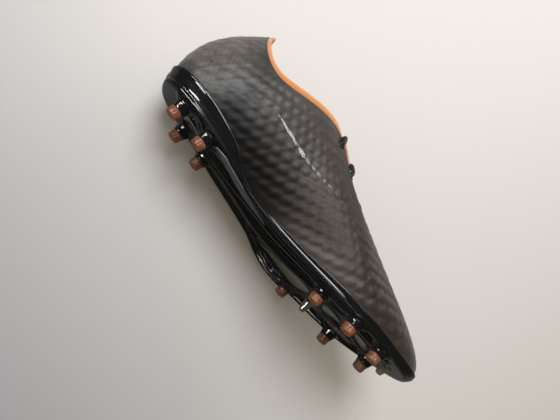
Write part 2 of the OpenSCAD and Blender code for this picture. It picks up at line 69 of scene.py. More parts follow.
UPPER_BULGE = [(8, 0, 86), (12, -18, 83), (26, -28, 74), (52, -32, 66), (78, -31, 74), (103, -28, 80),
    (127, -29, 75), (150, -30, 67), (173, -28, 61), (192, -22, 58), (204, -14, 57), (208, -6, 57),
    (204, 3, 57), (194, 13, 58), (175, 22, 61), (152, 27, 67), (128, 28, 74), (104, 25, 79), (78, 29, 72),
    (52, 33, 64), (26, 28, 73), (12, 18, 83)]
TOP_LINE = [(16.5, 0, 106), (19, -12, 98), (26, -24, 84), (49, -31, 71), (74, -30, 83.5), (98, -25, 94),
    (116, -18, 94), (130, -15, 87), (142, -13, 83), (150, -11, 80), (156, -9, 78), (158, -5, 77.5),
    (156, -1, 78), (150, 2, 80), (142, 4, 83), (130, 6, 87), (116, 10, 92), (98, 18, 91), (74, 27, 82),
    (48, 31, 70), (26, 24, 83), (19, 12, 97)]
# Share of the side height that the wall of the plate covers, station by station
PLATE_WALL = np.array([0.075, 0.082, 0.112, 0.108, 0.04, 0.018, 0.025, 0.055, 0.055, 0.06, 0.095, 0.13,
    0.095, 0.06, 0.055, 0.055, 0.03, 0.025, 0.045, 0.11, 0.125, 0.09])
SOLE_LENGTH = 285.0

# Thicknesses of the layers, mm
SHELL_T, LINING_T, STIFFENER_T, FOAM_T, GAP = 1.4, 0.8, 0.8, 4.5, 0.15
PLATE_PLAY, WALL_T = 0.25, 1.3
LIP_HEIGHT = 5.4
LACE_D = 3.2
TONGUE_T = 1.6


# ---- small maths
def smooth(a, b, x):
    t = np.clip((np.asarray(x, float) - a) / (b - a), 0, 1)
    return t * t * (3 - 2 * t)


def mix(a, b, t):
    return a + (b - a) * t


def circle(n):
    """n angles spaced evenly round a circle."""
    return np.linspace(0, TURN, n, endpoint=False)


def from_heel(u):
    """How far round the shoe u is from the heel on either side: 0 at the heel, 0.5 at the toe."""
    return np.minimum(u, 1 - u)


def grid(a, b):
    return np.meshgrid(a, b, indexing="ij")


def run_length(points, axis=0):
    """Length along rows of points, from 0 at the first."""
    steps = np.linalg.norm(np.diff(points, axis=axis), axis=-1)
    return np.insert(np.cumsum(steps, axis), 0, 0, axis)


def heel_to_toe(n):
    """n places u along the inner side, closer together at the heel and at the toe."""
    t = np.linspace(0, 1, n)
    return mix(t * 0.5, 0.25 * (1 - np.cos(math.pi * t)), 0.6)


def basis(f):
    """Weights of the four points that steer a uniform cubic spline at f between two of them."""
    return ((1 - f) ** 3 / 6, (3 * f ** 3 - 6 * f * f + 4) / 6,
            (-3 * f ** 3 + 3 * f * f + 3 * f + 1) / 6, f ** 3 / 6)


def along(loop, u):
    """Closed spline steered by a loop of points or numbers, at the places u."""
    loop = np.asarray(loop, float)
    s = (np.asarray(u, float) % 1.0) * len(loop)
    i = np.floor(s).astype(int)
    f = s - i
    if loop.ndim > 1:
        f = f[..., None]
    return sum(w * loop[(i + k - 1) % len(loop)] for k, w in enumerate(basis(f)))


def floor_z(x):
    """Height of the top of the plate at x."""
    ends = np.concatenate([[2 * FLOOR_HEIGHTS[0] - FLOOR_HEIGHTS[1]], FLOOR_HEIGHTS,
                           [2 * FLOOR_HEIGHTS[-1] - FLOOR_HEIGHTS[-2]]])
    s = np.asarray(x, float) / SOLE_LENGTH * (len(FLOOR_HEIGHTS) - 1)
    i = np.clip(np.floor(s).astype(int), 0, len(FLOOR_HEIGHTS) - 2)
    return sum(w * ends[i + k] for k, w in enumerate(basis(s - i)))


FEATHER_LINE = [(x, y, float(floor_z(x))) for x, y in FEATHER_PLAN]
LOOPS = [FEATHER_LINE, LOWER_BULGE, MIDDLE_BULGE, UPPER_BULGE, TOP_LINE]


def unit(p):
    return p / np.maximum(np.linalg.norm(p, axis=-1, keepdims=True), 1e-9)


def rib_points(u, v):
    """Points of the outer face: at each u, a curve up the side steered by the five loops."""
    w = 1 - v
    weights = (w ** 4, 4 * v * w ** 3, 6 * v * v * w * w, 4 * v ** 3 * w, v ** 4)
    return sum(k[..., None] * along(loop, u) for k, loop in zip(weights, LOOPS))


def rib_slopes(u, v):
    """How those curves run upwards at (u, v)."""
    w = 1 - v
    p = [along(loop, u) for loop in LOOPS]
    weights = (w ** 3, 3 * v * w * w, 3 * v * v * w, v ** 3)
    return 4 * sum(k[..., None] * (p[i + 1] - p[i]) for i, k in enumerate(weights))


def side(u, v, depth=0.0, rise=0.0):
    """Points at (u, v), depth mm inside the outer face and rise mm further up the side."""
    u, v = np.broadcast_arrays(np.asarray(u, float), np.asarray(v, float))
    step = 0.002
    slope = rib_slopes(u, v)
    normal = unit(np.cross(rib_points(u + step, v) - rib_points(u - step, v), slope))
    depth = np.asarray(depth, float)[..., None]
    rise = np.asarray(rise, float)[..., None]
    return rib_points(u, v) - depth * normal + rise * unit(slope)


def under(u, inset):
    """Plan points of the feather line moved inwards by inset."""
    u = np.asarray(u, float)
    t = along(LOOPS[0], u + 0.002) - along(LOOPS[0], u - 0.002)
    n = unit(np.stack([t[..., 1], -t[..., 0], np.zeros_like(u)], -1))
    return along(LOOPS[0], u) - np.asarray(inset, float)[..., None] * n


def on_floor(p, lift):
    """The points set lift mm above the top of the plate."""
    p = np.array(p, float)
    p[..., 2] = floor_z(p[..., 0]) + lift
    return p


def measured_shift():
    """What carries the shoe's own numbers onto the frame, from the CAD shell's box."""
    u, v = np.meshgrid(np.linspace(0, 1, 81), np.linspace(0, 1, 40))
    low = rib_points(u, v).min((0, 1))
    cad = np.array(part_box("upper_shell")[0]) / MM
    return np.array([cad[0] - low[0], cad[1] - low[1], 0.0])


SHIFT = measured_shift()


def to_frame(p):
    return (np.asarray(p, float) + SHIFT) * MM


# ---- mesh building
def new_mesh(name, points, material, slot, stands_for=None, body="shoe", **closing):
    """A piece from a grid of points (shoe numbers), in place of a CAD node where one is named.

    How the grid closes is said as for grid_faces.
    """
    faces = grid_faces(*points.shape[:2], **closing)
    me = bpy.data.meshes.new(name)
    me.from_pydata(to_frame(points).reshape(-1, 3).tolist(), [], faces.tolist())
    me.validate()
    me.shade_smooth()
    me.materials.append(material)
    ob = bpy.data.objects.new(name, me)
    bpy.context.scene.collection.objects.link(ob)
    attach(ob, body)
    if stands_for:
        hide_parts(stands_for)
    return ob


def grid_faces(nu, nv, close_u=False, close_v=False, turned_over=False):
    """Quads of a grid of nu columns of nv points, which may close on itself either way."""
    i = np.arange(nu if close_u else nu - 1)
    j = np.arange(nv if close_v else nv - 1)
    i, j = grid(i, j)
    i2, j2 = (i + 1) % nu, (j + 1) % nv
    quads = np.stack([i * nv + j, i2 * nv + j, i2 * nv + j2, i * nv + j2], -1).reshape(-1, 4)
    return quads[:, ::-1] if turned_over else quads


def write_values(ob, name, values):
    layer = ob.data.attributes.new(name, "FLOAT", "POINT")
    layer.data.foreach_set("value", np.asarray(values, np.float32).ravel())


def write_uv(ob, u, v):
    """Places in mm for each point, so that a pattern keeps its real scale."""
    loops = np.zeros(len(ob.data.loops), int)
    ob.data.loops.foreach_get("vertex_index", loops)
    layer = ob.data.uv_layers.new(name="surface")
    layer.data.foreach_set("uv", np.float32(np.stack([u, v], -1)).reshape(-1, 2)[loops].ravel())


def merge_close(ob):
    """Joins the points that lie on each other and turns every face outwards."""
    bm = bmesh.new()
    bm.from_mesh(ob.data)
    bmesh.ops.remove_doubles(bm, verts=bm.verts, dist=MERGE_DISTANCE)
    bmesh.ops.recalc_face_normals(bm, faces=bm.faces)
    bm.to_mesh(ob.data)
    bm.free()


# ---- material building
class Nodes:
    """Short hand for building the node tree of a material or a world."""

    def __init__(self, owner):
        owner.use_nodes = True
        self.owner = owner
        self.tree = owner.node_tree

    def put(self, node, key, value):
        """Links or sets one input, named or numbered."""
        key = key.replace("_", " ").strip()
        socket = node.inputs[int(key) if key.isdigit() else key]
        if isinstance(value, bpy.types.NodeSocket):
            self.tree.links.new(value, socket)
        else:
            socket.default_value = value

    def add(self, kind, props=None, **inputs):
        node = self.tree.nodes.new("ShaderNode" + kind)
        for key, value in (props or {}).items():
            setattr(node, key, value)
        for key, value in inputs.items():
            self.put(node, key, value)
        return node

    def set(self, **inputs):
        for key, value in inputs.items():
            self.put(self.tree.nodes["Principled BSDF"], key, value)

    def coords(self):
        return self.add("TexCoord").outputs["Object"]

    def uv(self):
        return self.add("UVMap", {"uv_map": "surface"}).outputs[0]

    def scaled(self, vector, scale):
        return self.add("Mapping", Vector=vector, Scale=scale).outputs[0]

    def noise(self, vector, scale, detail, rough):
        return self.add("TexNoise", Vector=vector, Scale=scale, Detail=detail,
                        Roughness=rough).outputs["Fac"]

    def wave(self, vector, scale, distortion, direction="X"):
        return self.add("TexWave", {"bands_direction": direction}, Vector=vector, Scale=scale,
                        Distortion=distortion).outputs["Fac"]

    def ramp(self, fac, stops):
        r = self.add("ValToRGB", Fac=fac)
        els = r.color_ramp.elements
        for at, _ in stops[2:]:
            els.new(at)
        for e, (at, colour) in zip(els, stops):
            e.position = at
            e.color = (*colour, 1)
        return r.outputs["Color"]

    def range(self, value, low, high, to_low, to_high):
        return self.add("MapRange", Value=value, From_Min=low, From_Max=high, To_Min=to_low,
                        To_Max=to_high).outputs["Result"]

    def maths(self, kind, a, b):
        return self.add("Math", {"operation": kind}, _0=a, _1=b).outputs[0]

    def blend(self, fac, a, b, kind="MIX"):
        a, b = [c if isinstance(c, bpy.types.NodeSocket) else (*c, 1) for c in (a, b)]
        node = self.add("Mix", {"data_type": "RGBA", "blend_type": kind}, _0=fac, _6=a, _7=b)
        return node.outputs[2]

    def tint(self, value, low, high, share, a, b, kind="MIX"):
        """Colour a that turns towards b, by share at most, as value goes from low to high."""
        return self.blend(self.range(value, low, high, 0.0, share), a, b, kind)

    def value(self, name):
        return self.add("Attribute", {"attribute_name": name}).outputs["Fac"]

    def bump(self, height, strength, distance, after=None):
        b = self.add("Bump", Strength=strength, Distance=distance, Height=height)
        if after is not None:
            self.put(b, "Normal", after)
        return b.outputs["Normal"]


def new_finish(name):
    return Nodes(bpy.data.materials.new(name))


def grey(level, warm=0.0):
    return (level * (1 + warm), level, level * (1 - warm))


def skin_material():
    """Matte charcoal skin over a dimpled knit: painted shade in the pits, painted light on the crests, fine
    grain.
    """
    n = new_finish("knit_skin")
    uv = n.uv()
    tone = n.value("tone")
    # Painted shade and light of the knit: dark in the pits, light on the crests.
    base = n.ramp(n.value("relief"), [(0.0, grey(0.020, 0.06)), (0.42, grey(0.044, 0.08)),
                                      (0.62, grey(0.062, 0.09)), (1.0, grey(0.100, 0.09))])
    blot = n.noise(uv, 0.11, 4.0, 0.6)
    warmth = n.value("warmth")
    brown = n.maths("MULTIPLY", n.range(blot, 0.35, 0.70, 0.0, 0.75), n.range(warmth, 0.0, 1.0, 0.3, 1.0))
    base = n.blend(brown, base, (0.070, 0.055, 0.046))
    green = n.noise(n.scaled(uv, (0.16, 0.13, 0.1)), 1.0, 3.0, 0.6)
    base = n.tint(green, 0.5, 0.72, 0.4, base, (0.050, 0.058, 0.050))
    specks = n.noise(uv, 0.55, 3.0, 0.7)
    base = n.tint(specks, 0.3, 0.7, 0.85, base, grey(0.12, 0.1), "OVERLAY")
    base = n.blend(warmth, base, (0.93, 0.82, 0.77), "MULTIPLY")
    # Painted light and shade: the colour is scaled by the tone attribute.
    base = n.add("VectorMath", {"operation": "SCALE"}, _0=base, Scale=tone).outputs[0]
    cells = n.add("TexVoronoi", Vector=n.scaled(uv, (1.0, 1.5, 1.0)), Scale=1.3)
    fine = n.noise(uv, 3.2, 3.0, 0.7)
    bump = n.bump(cells.outputs["Distance"], 0.30, 0.00022)
    bump = n.bump(fine, 0.35, 0.00012, bump)
    n.set(Base_Color=base, Roughness=n.range(fine, 0.3, 0.75, 0.36, 0.56), Normal=bump)
    sheen = n.blend(warmth, (1.0, 1.0, 1.0), (0.96, 0.81, 0.73))
    # Sheen, gloss and coat fade in the painted shade of the tone attribute.
    n.set(Sheen_Weight=n.range(tone, 0.0, 0.9, 0.04, 0.35), Sheen_Roughness=0.45, Sheen_Tint=sheen,
          Specular_Tint=sheen,
          Specular_IOR_Level=n.range(tone, 0.0, 0.7, 0.12, 0.5),
          Coat_Weight=n.range(tone, 0.0, 0.7, 0.0, 0.12), Coat_Roughness=0.32)
    return n.owner


def knit_material(name, colour, dark, rib=1.0, sheen=0.7):
    """Soft brushed knit with vertical ribs."""
    n = new_finish(name)
    uv = n.uv()
    ribs = n.wave(n.scaled(uv, (rib, rib * 0.08, 1.0)), 1.0, 0.35)
    rows = n.wave(n.scaled(uv, (0.35, 1.0, 1.0)), 1.25, 0.8, "Y")
    fuzz = n.noise(uv, 2.6, 4.0, 0.7)
    base = n.tint(fuzz, 0.25, 0.75, 1.0, dark, colour)
    base = n.blend(n.range(ribs, 0.0, 0.5, 0.35, 0.0), base, dark)
    bump = n.bump(ribs, 0.5, 0.00025)
    bump = n.bump(rows, 0.35, 0.00015, bump)
    bump = n.bump(fuzz, 0.4, 0.00018, bump)
    n.set(Base_Color=base, Roughness=0.85, Sheen_Weight=sheen, Sheen_Roughness=0.5, Normal=bump)
    n.set(Subsurface_Weight=0.08, Subsurface_Scale=0.002)
    return n.owner


def gloss_plate_material():
    """Polished black moulding with faint flow marks and scuffs."""
    n = new_finish("gloss_plate")
    at = n.coords()
    flow = n.noise(n.scaled(at, (60.0, 260.0, 260.0)), 1.0, 3.0, 0.5)
    scuff = n.noise(at, 900.0, 2.0, 0.6)
    base = n.tint(flow, 0.3, 0.7, 1.0, (0.0055, 0.0065, 0.008), (0.011, 0.0115, 0.0125))
    bump = n.bump(flow, 0.05, 0.0004)
    dull = n.value("dull")
    rough = n.maths("ADD", n.range(scuff, 0.45, 0.75, 0.07, 0.12), n.maths("MULTIPLY", dull, 0.30))
    n.set(Base_Color=base, Roughness=rough, Normal=bump)
    n.set(Specular_IOR_Level=n.range(dull, 0.0, 1.0, 0.50, 0.06),
          Coat_Weight=n.range(dull, 0.0, 1.0, 0.45, 0.0), Coat_Roughness=0.04)
    return n.owner


def clear_material(name, colour, rough=0.16, cloud=0.5):
    """Smoky clear moulding, slightly cloudy inside."""
    n = new_finish(name)
    at = n.coords()
    haze = n.noise(at, 160.0, 4.0, 0.6)
    base = n.tint(haze, 0.3, 0.7, cloud, colour, tuple(min(1.0, c * 1.5) for c in colour))
    bump = n.bump(haze, 0.12, 0.0004)
    n.set(Base_Color=base, Roughness=rough, Normal=bump, Transmission_Weight=0.45, IOR=1.45)
    n.set(Subsurface_Weight=0.4, Subsurface_Scale=0.004, Coat_Weight=0.3, Coat_Roughness=0.06)
    return n.owner


def stud_tip_material():
    """Orange clear moulding, deeper where it is thick, paler along the ribs."""
    n = new_finish("stud_tip")
    at = n.coords()
    mottled = n.noise(at, 420.0, 3.0, 0.6)
    base = n.tint(mottled, 0.3, 0.7, 1.0, (0.27, 0.085, 0.032), (0.50, 0.21, 0.095))
    wear = n.noise(n.scaled(at, (1500.0, 1500.0, 700.0)), 1.0, 2.0, 0.7)
    n.set(Base_Color=base, Roughness=n.range(wear, 0.4, 0.7, 0.16, 0.42), IOR=1.48)
    n.set(Transmission_Weight=0.28, Subsurface_Weight=0.55, Subsurface_Scale=0.003, Coat_Weight=0.35,
          Coat_Roughness=0.08, Normal=n.bump(wear, 0.2, 0.0002))
    return n.owner


def lace_material():
    """Glossy black braid."""
    n = new_finish("lace_cord")
    uv = n.uv()
    a = n.wave(uv, 1.6, 0.2, "DIAGONAL")
    b = n.wave(n.scaled(uv, (1.0, -1.0, 1.0)), 1.6, 0.2, "DIAGONAL")
    braid = n.maths("MULTIPLY", a, b)
    fuzz = n.noise(uv, 5.0, 2.0, 0.6)
    base = n.tint(braid, 0.0, 0.8, 1.0, (0.004, 0.004, 0.005), (0.03, 0.031, 0.035))
    bump = n.bump(braid, 0.8, 0.0003)
    bump = n.bump(fuzz, 0.2, 0.0001, bump)
    n.set(Base_Color=base, Roughness=0.3, Normal=bump, Coat_Weight=0.4, Coat_Roughness=0.2,
          Sheen_Weight=0.2)
    return n.owner


def foil_material(name, level):
    """Silvery film with a faint play of colour and worn specks."""
    n = new_finish(name)
    at = n.coords()
    play = n.noise(n.scaled(at, (70.0, 70.0, 200.0)), 1.0, 2.0, 0.5)
    tints = [(0.3, (0.80, 1.05, 1.08)), (0.5, (1.0, 1.06, 1.06)), (0.7, (1.0, 0.86, 0.94))]
    colour = n.ramp(play, [(at_, tuple(c * level for c in tint)) for at_, tint in tints])
    worn = n.noise(at, 900.0, 3.0, 0.7)
    base = n.tint(worn, 0.52, 0.60, 0.9, colour, (0.030, 0.030, 0.030))
    n.set(Base_Color=base, Roughness=0.42, Metallic=0.25, Normal=n.bump(worn, 0.5, 0.0004))
    return n.owner


def board_material(name, colour):
    """Plain woven board or lining cloth."""
    n = new_finish(name)
    at = n.coords()
    warp = n.wave(n.scaled(at, (900.0, 10.0, 10.0)), 1.0, 0.3)
    weft = n.wave(n.scaled(at, (10.0, 900.0, 10.0)), 1.0, 0.3, "Y")
    weave = n.maths("ADD", warp, weft)
    stain = n.noise(at, 90.0, 4.0, 0.6)
    base = n.tint(stain, 0.3, 0.7, 0.5, colour, tuple(c * 0.7 for c in colour))
    n.set(Base_Color=base, Roughness=0.9, Sheen_Weight=0.3, Normal=n.bump(weave, 0.4, 0.0002))
    return n.owner


def moulded_material(name, colour, rough=0.45):
    """Plain moulded plastic with a fine grain."""
    n = new_finish(name)
    at = n.coords()
    grain = n.noise(n.scaled(at, (1800.0, 1800.0, 1800.0)), 1.0, 2.0, 0.6)
    tone = n.noise(at, 120.0, 3.0, 0.5)
    base = n.tint(tone, 0.3, 0.7, 0.6, colour, tuple(c * 0.75 for c in colour))
    n.set(Base_Color=base, Roughness=n.range(grain, 0.3, 0.7, rough - 0.08, rough + 0.1),
          Normal=n.bump(grain, 0.25, 0.00015))
    return n.owner


# ---- upper
UPPER_COLUMNS = 600
UPPER_ROWS = 132
# The quilting of the knit: three crossing waves, the third the sum of the first two.  Each pair is
# the number of waves per mm along the shoe and up its side.
WAVE_ROWS = (-0.050, 0.122)
WAVE_SLANT = (-0.098, -0.040)
DIMPLE = 0.42                             # height of the crests over the middle face, mm


def wobble(x, y, seed, scale):
    """Soft noise in two directions from a few crossed waves."""
    rng = np.random.default_rng(seed)
    total = np.zeros_like(x)
    for _ in range(5):
        a, b = rng.uniform(-1, 1, 2)
        total += np.sin((a * x + b * y) * TURN / scale + rng.uniform(0, 6.28))
    return total / 5


def surface_grid(u, v):
    """Arc lengths in mm along u (at a third of the height) and up v, on the grid u x v."""
    s = run_length(rib_points(u, np.full_like(u, 0.36)))
    uu, vv = grid(u, v)
    return uu, vv, np.repeat(s[:, None], len(v), 1), run_length(rib_points(uu, vv), 1)


def dimple_relief_and_shade(u, v, s, t):
    """Height of the knit's relief in mm, and its colour value 0 (pit, painted shade) to 1 (crest, painted
    light).
    """
    m = from_heel(u)
    s = np.where(u > 0.5, s.max() - s, s)
    s = s + 0.9 * wobble(s, t, 3, 40)
    t = t + 0.8 * wobble(s, t, 5, 46)
    rows = TURN * (WAVE_ROWS[0] * s + WAVE_ROWS[1] * t)
    slant = TURN * (WAVE_SLANT[0] * s + WAVE_SLANT[1] * t)
    f = 0.46 * np.cos(rows) + 0.27 * np.cos(slant) + 0.27 * np.cos(rows + slant)
    big = (0.60 + 0.40 * smooth(0.075, 0.15, m)) * (1 - smooth(0.39, 0.44, m))
    big = big * smooth(0.0, 0.12, v) * (1 - smooth(0.78, 0.97, v) * (0.45 + 0.45 * smooth(0.25, 0.3, m)))
    big = big * (0.80 + 0.35 * wobble(s, t, 9, 60))
    shaped = np.where(f > 0, f, 1.25 * f)
    fine = np.cos(TURN * s / 4.2) * np.cos(math.pi * t / 3.4)
    calm = (1 - 0.8 * big) * smooth(0, 0.1, v) * (1 - smooth(0.9, 1, v))
    waves = wobble(s, t, 14, 26)
    height = DIMPLE * big * shaped + calm * (0.10 * fine + 0.12 * waves) + 0.16 * big * waves
    # The colour paints shade into the pits and light onto the crests.
    colour = 0.55 + 0.40 * big * shaped + calm * (0.12 * fine + 0.08 * waves)
    return height, np.clip(colour, 0, 1)


def flex_creases(u, v):
    """Shallow creases that fan out from the corner of the lace opening over the vamp."""
    m = from_heel(u)
    depth = np.zeros_like(u)
    for at, lean in ((0.35, 0.05), (0.385, 0.04), (0.415, 0.03), (0.44, 0.02)):
        line = at + lean * (1 - v)
        depth += np.exp(-((m - line) / 0.0035) ** 2) * smooth(0.55, 0.75, v) * (1 - smooth(0.9, 0.99, v))
    return -0.22 * depth


def painted_light_and_shade(u, v):
    """Brightness of the skin, painted light and shade: pale heel (painted light, and a paler rubbed skin),
    painted shade in the hollow above the waist of the plate.
    """
    m = from_heel(u)
    # Painted shade low on the side from heel to forefoot, painted light low at the front, on the heel and
    # along the collar.
    middle = 0.06 + 0.62 * smooth(0.14, 0.60, v)
    front = mix(1.10, 0.42, smooth(0.06, 0.26, v)) + 0.5 * smooth(0.32, 0.36, m) * smooth(0.1, 0.3, v)
    tone = mix(middle, front, smooth(0.20, 0.31, m))
    heel = 3.2 * (1 - smooth(0.045, 0.128, m)) * (1 - 0.45 * smooth(0.5, 0.9, v))
    tone = tone + heel * smooth(0.03, 0.25, v)
    tone = tone + 0.30 * smooth(0.70, 0.95, v) * (1 - smooth(0.18, 0.22, m)) * smooth(0.11, 0.14, m)
    rubbed = 1 + 0.22 * wobble(m * 600, v * 90, 21, 13) + 0.22 * wobble(m * 600, v * 90, 22, 7)
    tone = tone * mix(1.0, rubbed, 1 - 0.5 * smooth(0.12, 0.2, m))
    # On the outer side the painted light and shade are halved towards an even 0.7.
    return np.clip(np.where(u > 0.5, mix(tone, 0.7, 0.5), tone), 0.05, 3.2)


def upper():
    """Outer skin from the lasting margin, up the side, over the rolled edge and back inside."""
    u = np.linspace(0, 1, UPPER_COLUMNS, endpoint=False)
    uu, vv, s, t = surface_grid(u, np.linspace(0, 1, UPPER_ROWS) ** 0.96)
    height, colour = dimple_relief_and_shade(uu, vv, s, t)
    face = side(uu, vv, -(height + flex_creases(uu, vv)))
    margin = [on_floor(under(u, inset), 0.0) for inset in (11.0, 5.0, 1.2)]
    edge = [side(u, 1, d, r) for d, r in ((0.25, 0.32), (0.7, 0.45), (1.15, 0.3), (SHELL_T, 0.0))]
    edge += [side(u, w, SHELL_T) for w in (0.97, 0.92, 0.86)]
    points = np.concatenate([np.stack(margin, 1), face, np.stack(edge, 1)], 1)
    ob = new_mesh("Upper", points, SKIN, "knit_skin", "upper_shell", close_u=True)

    def padded(values, first, last):
        """A value of the face carried over the margin and the rolled edge."""
        return np.pad(values, ((0, 0), (len(margin), len(edge))), constant_values=((0, 0), (first, last)))

    m = from_heel(uu)
    warmth = smooth(0.10, 0.28, m) * (1 - 0.6 * smooth(0.36, 0.45, m))
    # relief carries the painted shade of the pits and the painted light of the crests.
    write_values(ob, "relief", padded(colour, 0.5, 0.5))
    # tone carries the painted light and shade of the skin; the margin is painted darker (0.3), the rolled
    # edge stays at 1.
    write_values(ob, "tone", padded(painted_light_and_shade(uu, vv), 0.3, 1.0))
    write_values(ob, "warmth", padded(warmth, 0.5, 0.5))
    write_uv(ob, padded(s, 0, 0), padded(t, 0, 0))


# ---- lining and lip
INNER_FACE = SHELL_T + GAP


# Where the stiffener of the heel, the eyestays and the foam of the collar lie between the layers
def heel_zone(u, v):
    return (1 - smooth(0.17, 0.22, from_heel(u))) * (1 - smooth(0.55, 0.65, v))


def eyestay_zone(u, v):
    return smooth(0.22, 0.26, from_heel(u)) * smooth(0.78, 0.86, v)


def collar_zone(u, v):
    return (1 - smooth(0.12, 0.24, from_heel(u))) * smooth(0.6, 0.75, v) * (1 - smooth(0.88, 1, v))


def lining_depth(u, v):
    """How far the outside of the lining lies inside the outer face."""
    step = np.maximum(heel_zone(u, v), eyestay_zone(u, v))
    return INNER_FACE + (STIFFENER_T + GAP) * step + (FOAM_T + GAP) * collar_zone(u, v)


QUARTER_END = 0.27
LOW_LIP = 0.9                             # height of the lip where the lace opening starts, mm


def lip_height(u):
    return mix(LIP_HEIGHT, LOW_LIP, smooth(0.240, QUARTER_END, from_heel(u)))


def quarter_lining():
    """Brushed orange lining: rounded lip over the collar and the cloth down inside."""
    u = np.linspace(-QUARTER_END, QUARTER_END, 420) % 1.0
    outside = lining_depth(u, 1)
    inside = outside + LINING_T
    rows = [(outside, 0.15), (0.35, 0.15)]
    for a in np.linspace(0, math.pi, 13):
        reach = mix(0.1, inside, 0.5 - 0.5 * np.cos(a))
        rows.append((reach, lip_height(u) * (0.45 + 0.55 * np.sin(a) ** 0.8)))
    rows.append((inside, 0.15))
    lip = np.stack([side(u, 1, d, r) for d, r in rows], 1)
    uu, vv = grid(u, np.linspace(1, 0.04, 46))
    ribs = 0.07 * np.cos(uu * TURN * 330)
    points = np.concatenate([lip, side(uu, vv, lining_depth(uu, vv) + LINING_T + ribs)], 1)
    ob = new_mesh("Collar_lining", points, ORANGE_KNIT, "orange_lining", "quarter_lining", turned_over=True)
    write_uv(ob, *grid(np.linspace(0, 380, len(u)), run_length(points[60])))


def throat_binding():
    """Soft rolled edge that closes the lining along the lace opening."""
    steps, around = 90, 16
    for tag, first, last in (("in", 0.262, 0.345), ("out", 0.655, 0.738)):
        u = np.linspace(first, last, steps)
        m = from_heel(u)
        stand = 2.8 * smooth(0.262, 0.270, m) * (1 - 0.7 * smooth(0.325, 0.345, m))
        rows = []
        for a in circle(around):
            p = side(u, 1, 0.75 + 0.65 * np.cos(a))
            p[:, 2] += stand * (0.5 + 0.5 * np.sin(a)) - 0.4
            rows.append(p)
        ob = new_mesh(f"Throat_binding_{tag}", np.stack(rows, 1), CORAL_KNIT, "orange_lining",
                      close_v=True, turned_over=True)
        write_uv(ob, *grid(np.linspace(0, 50, steps), np.linspace(0, 6, around)))


# ---- tongue
TONGUE_DEPTH = INNER_FACE + STIFFENER_T + LINING_T + LACE_D + 1.8
TONGUE_RISE = TONGUE_DEPTH - 0.8


def crown(u, t, up=0.0, deep=0.0):
    """Point over the lace opening, t across from the inner edge to the outer edge."""
    u, t, up, deep = np.broadcast_arrays(*[np.asarray(a, float) for a in (u, t, up, deep)])
    a, b = side(u, 1, TONGUE_DEPTH + deep), side(1 - u, 1, TONGUE_DEPTH + deep)
    rise = np.minimum(TONGUE_RISE, 0.42 * np.linalg.norm(a - b, axis=-1))
    p = mix(a, b, t[..., None])
    p[..., 2] += rise * np.sin(math.pi * t) ** 2 + up
    return p


def tongue_rows(u, extra):
    """Cross rows of the tongue: wing, crown, wing."""
    wing = mix(0.86, 0.96, smooth(0.36, 0.462, u))
    shares = np.linspace(0, 1, 9)[:-1]
    rows = [side(u, mix(wing, 1.0, w), TONGUE_DEPTH + extra) for w in shares]
    rows += [crown(u, t, 0.0, extra) for t in np.linspace(0, 1, 60)]
    rows += [side(1 - u, mix(wing, 1.0, w), TONGUE_DEPTH + extra) for w in shares[::-1]]
    return np.stack(rows, 1)


def tongue():
    """Soft knitted tongue with a rounded free end, a bound edge and fine ribs."""
    u = np.linspace(0.24, 0.462, 150)
    face = tongue_rows(u, 0.0)
    across = np.arange(face.shape[1])
    ribs = 0.10 * np.cos(across * TURN / 4.0)
    face[..., 2] += ribs * smooth(2, 8, np.minimum(across, across[::-1]))
    back = tongue_rows(u, TONGUE_T)[:, ::-1]
    loop = np.concatenate([face, back], 1)
    middle = 0.5 * (face[0] + back[0, ::-1])
    middle = np.concatenate([middle, middle[::-1]])
    direction = unit(loop[0] - loop[3])
    free_end = []
    for a in np.radians((90, 60, 30)):
        free_end.append(mix(middle, loop[0], math.cos(a)) + 0.8 * math.sin(a) * direction)
    points = np.concatenate([free_end, loop], 0)
    ob = new_mesh("Tongue", points, CORAL_KNIT, "tongue_cloth", "tongue", "tongue_body", close_v=True)
    rows, columns = np.indices(points.shape[:2])
    write_uv(ob, columns * 1.0, rows * 0.75)
    merge_close(ob)


# ---- lace
LACE_ROWS = (0.40, 0.322, 0.262)
EYELET_V = 0.93
EYELET_R = LACE_D / 2 + 0.3
OVER = LACE_D / 2 + 0.4
INSIDE_D = INNER_FACE + STIFFENER_T + LINING_T + LACE_D / 2 + 0.7


def bar_middle(u, t):
    """Point of the straight lace, t across the opening from the inner edge."""
    p = mix(side(u, 1, -OVER), side(1 - u, 1, -OVER), t)
    return p + np.array([0, 0, 0.8 * math.sin(math.pi * t)])


def bar(u):
    """Lace straight over the opening, out of the outer eyelet and into the inner one."""
    return [side(1 - u, EYELET_V, INSIDE_D), side(1 - u, EYELET_V, 1), side(1 - u, EYELET_V + 0.02, -OVER),
            side(1 - u, 1, -OVER), bar_middle(u, 0.7), bar_middle(u, 0.5), bar_middle(u, 0.3),
            side(u, 1, -OVER), side(u, EYELET_V + 0.02, -OVER), side(u, EYELET_V, 1),
            side(u, EYELET_V, INSIDE_D)]


def cross_over(u, w):
    """Lace slanting over the tongue under the edges, from the inner side at u to the outer side at w."""
    def on_crown(share, t, up):
        return crown(mix(u, w, share), t, up)
    return [side(mix(u, w, 0.15), 0.985, INSIDE_D), on_crown(0.4, 0.3, OVER + 0.6),
            on_crown(0.5, 0.5, OVER + 0.2), on_crown(0.6, 0.7, OVER + 0.6),
            side(1 - mix(u, w, 0.85), 0.985, INSIDE_D)]


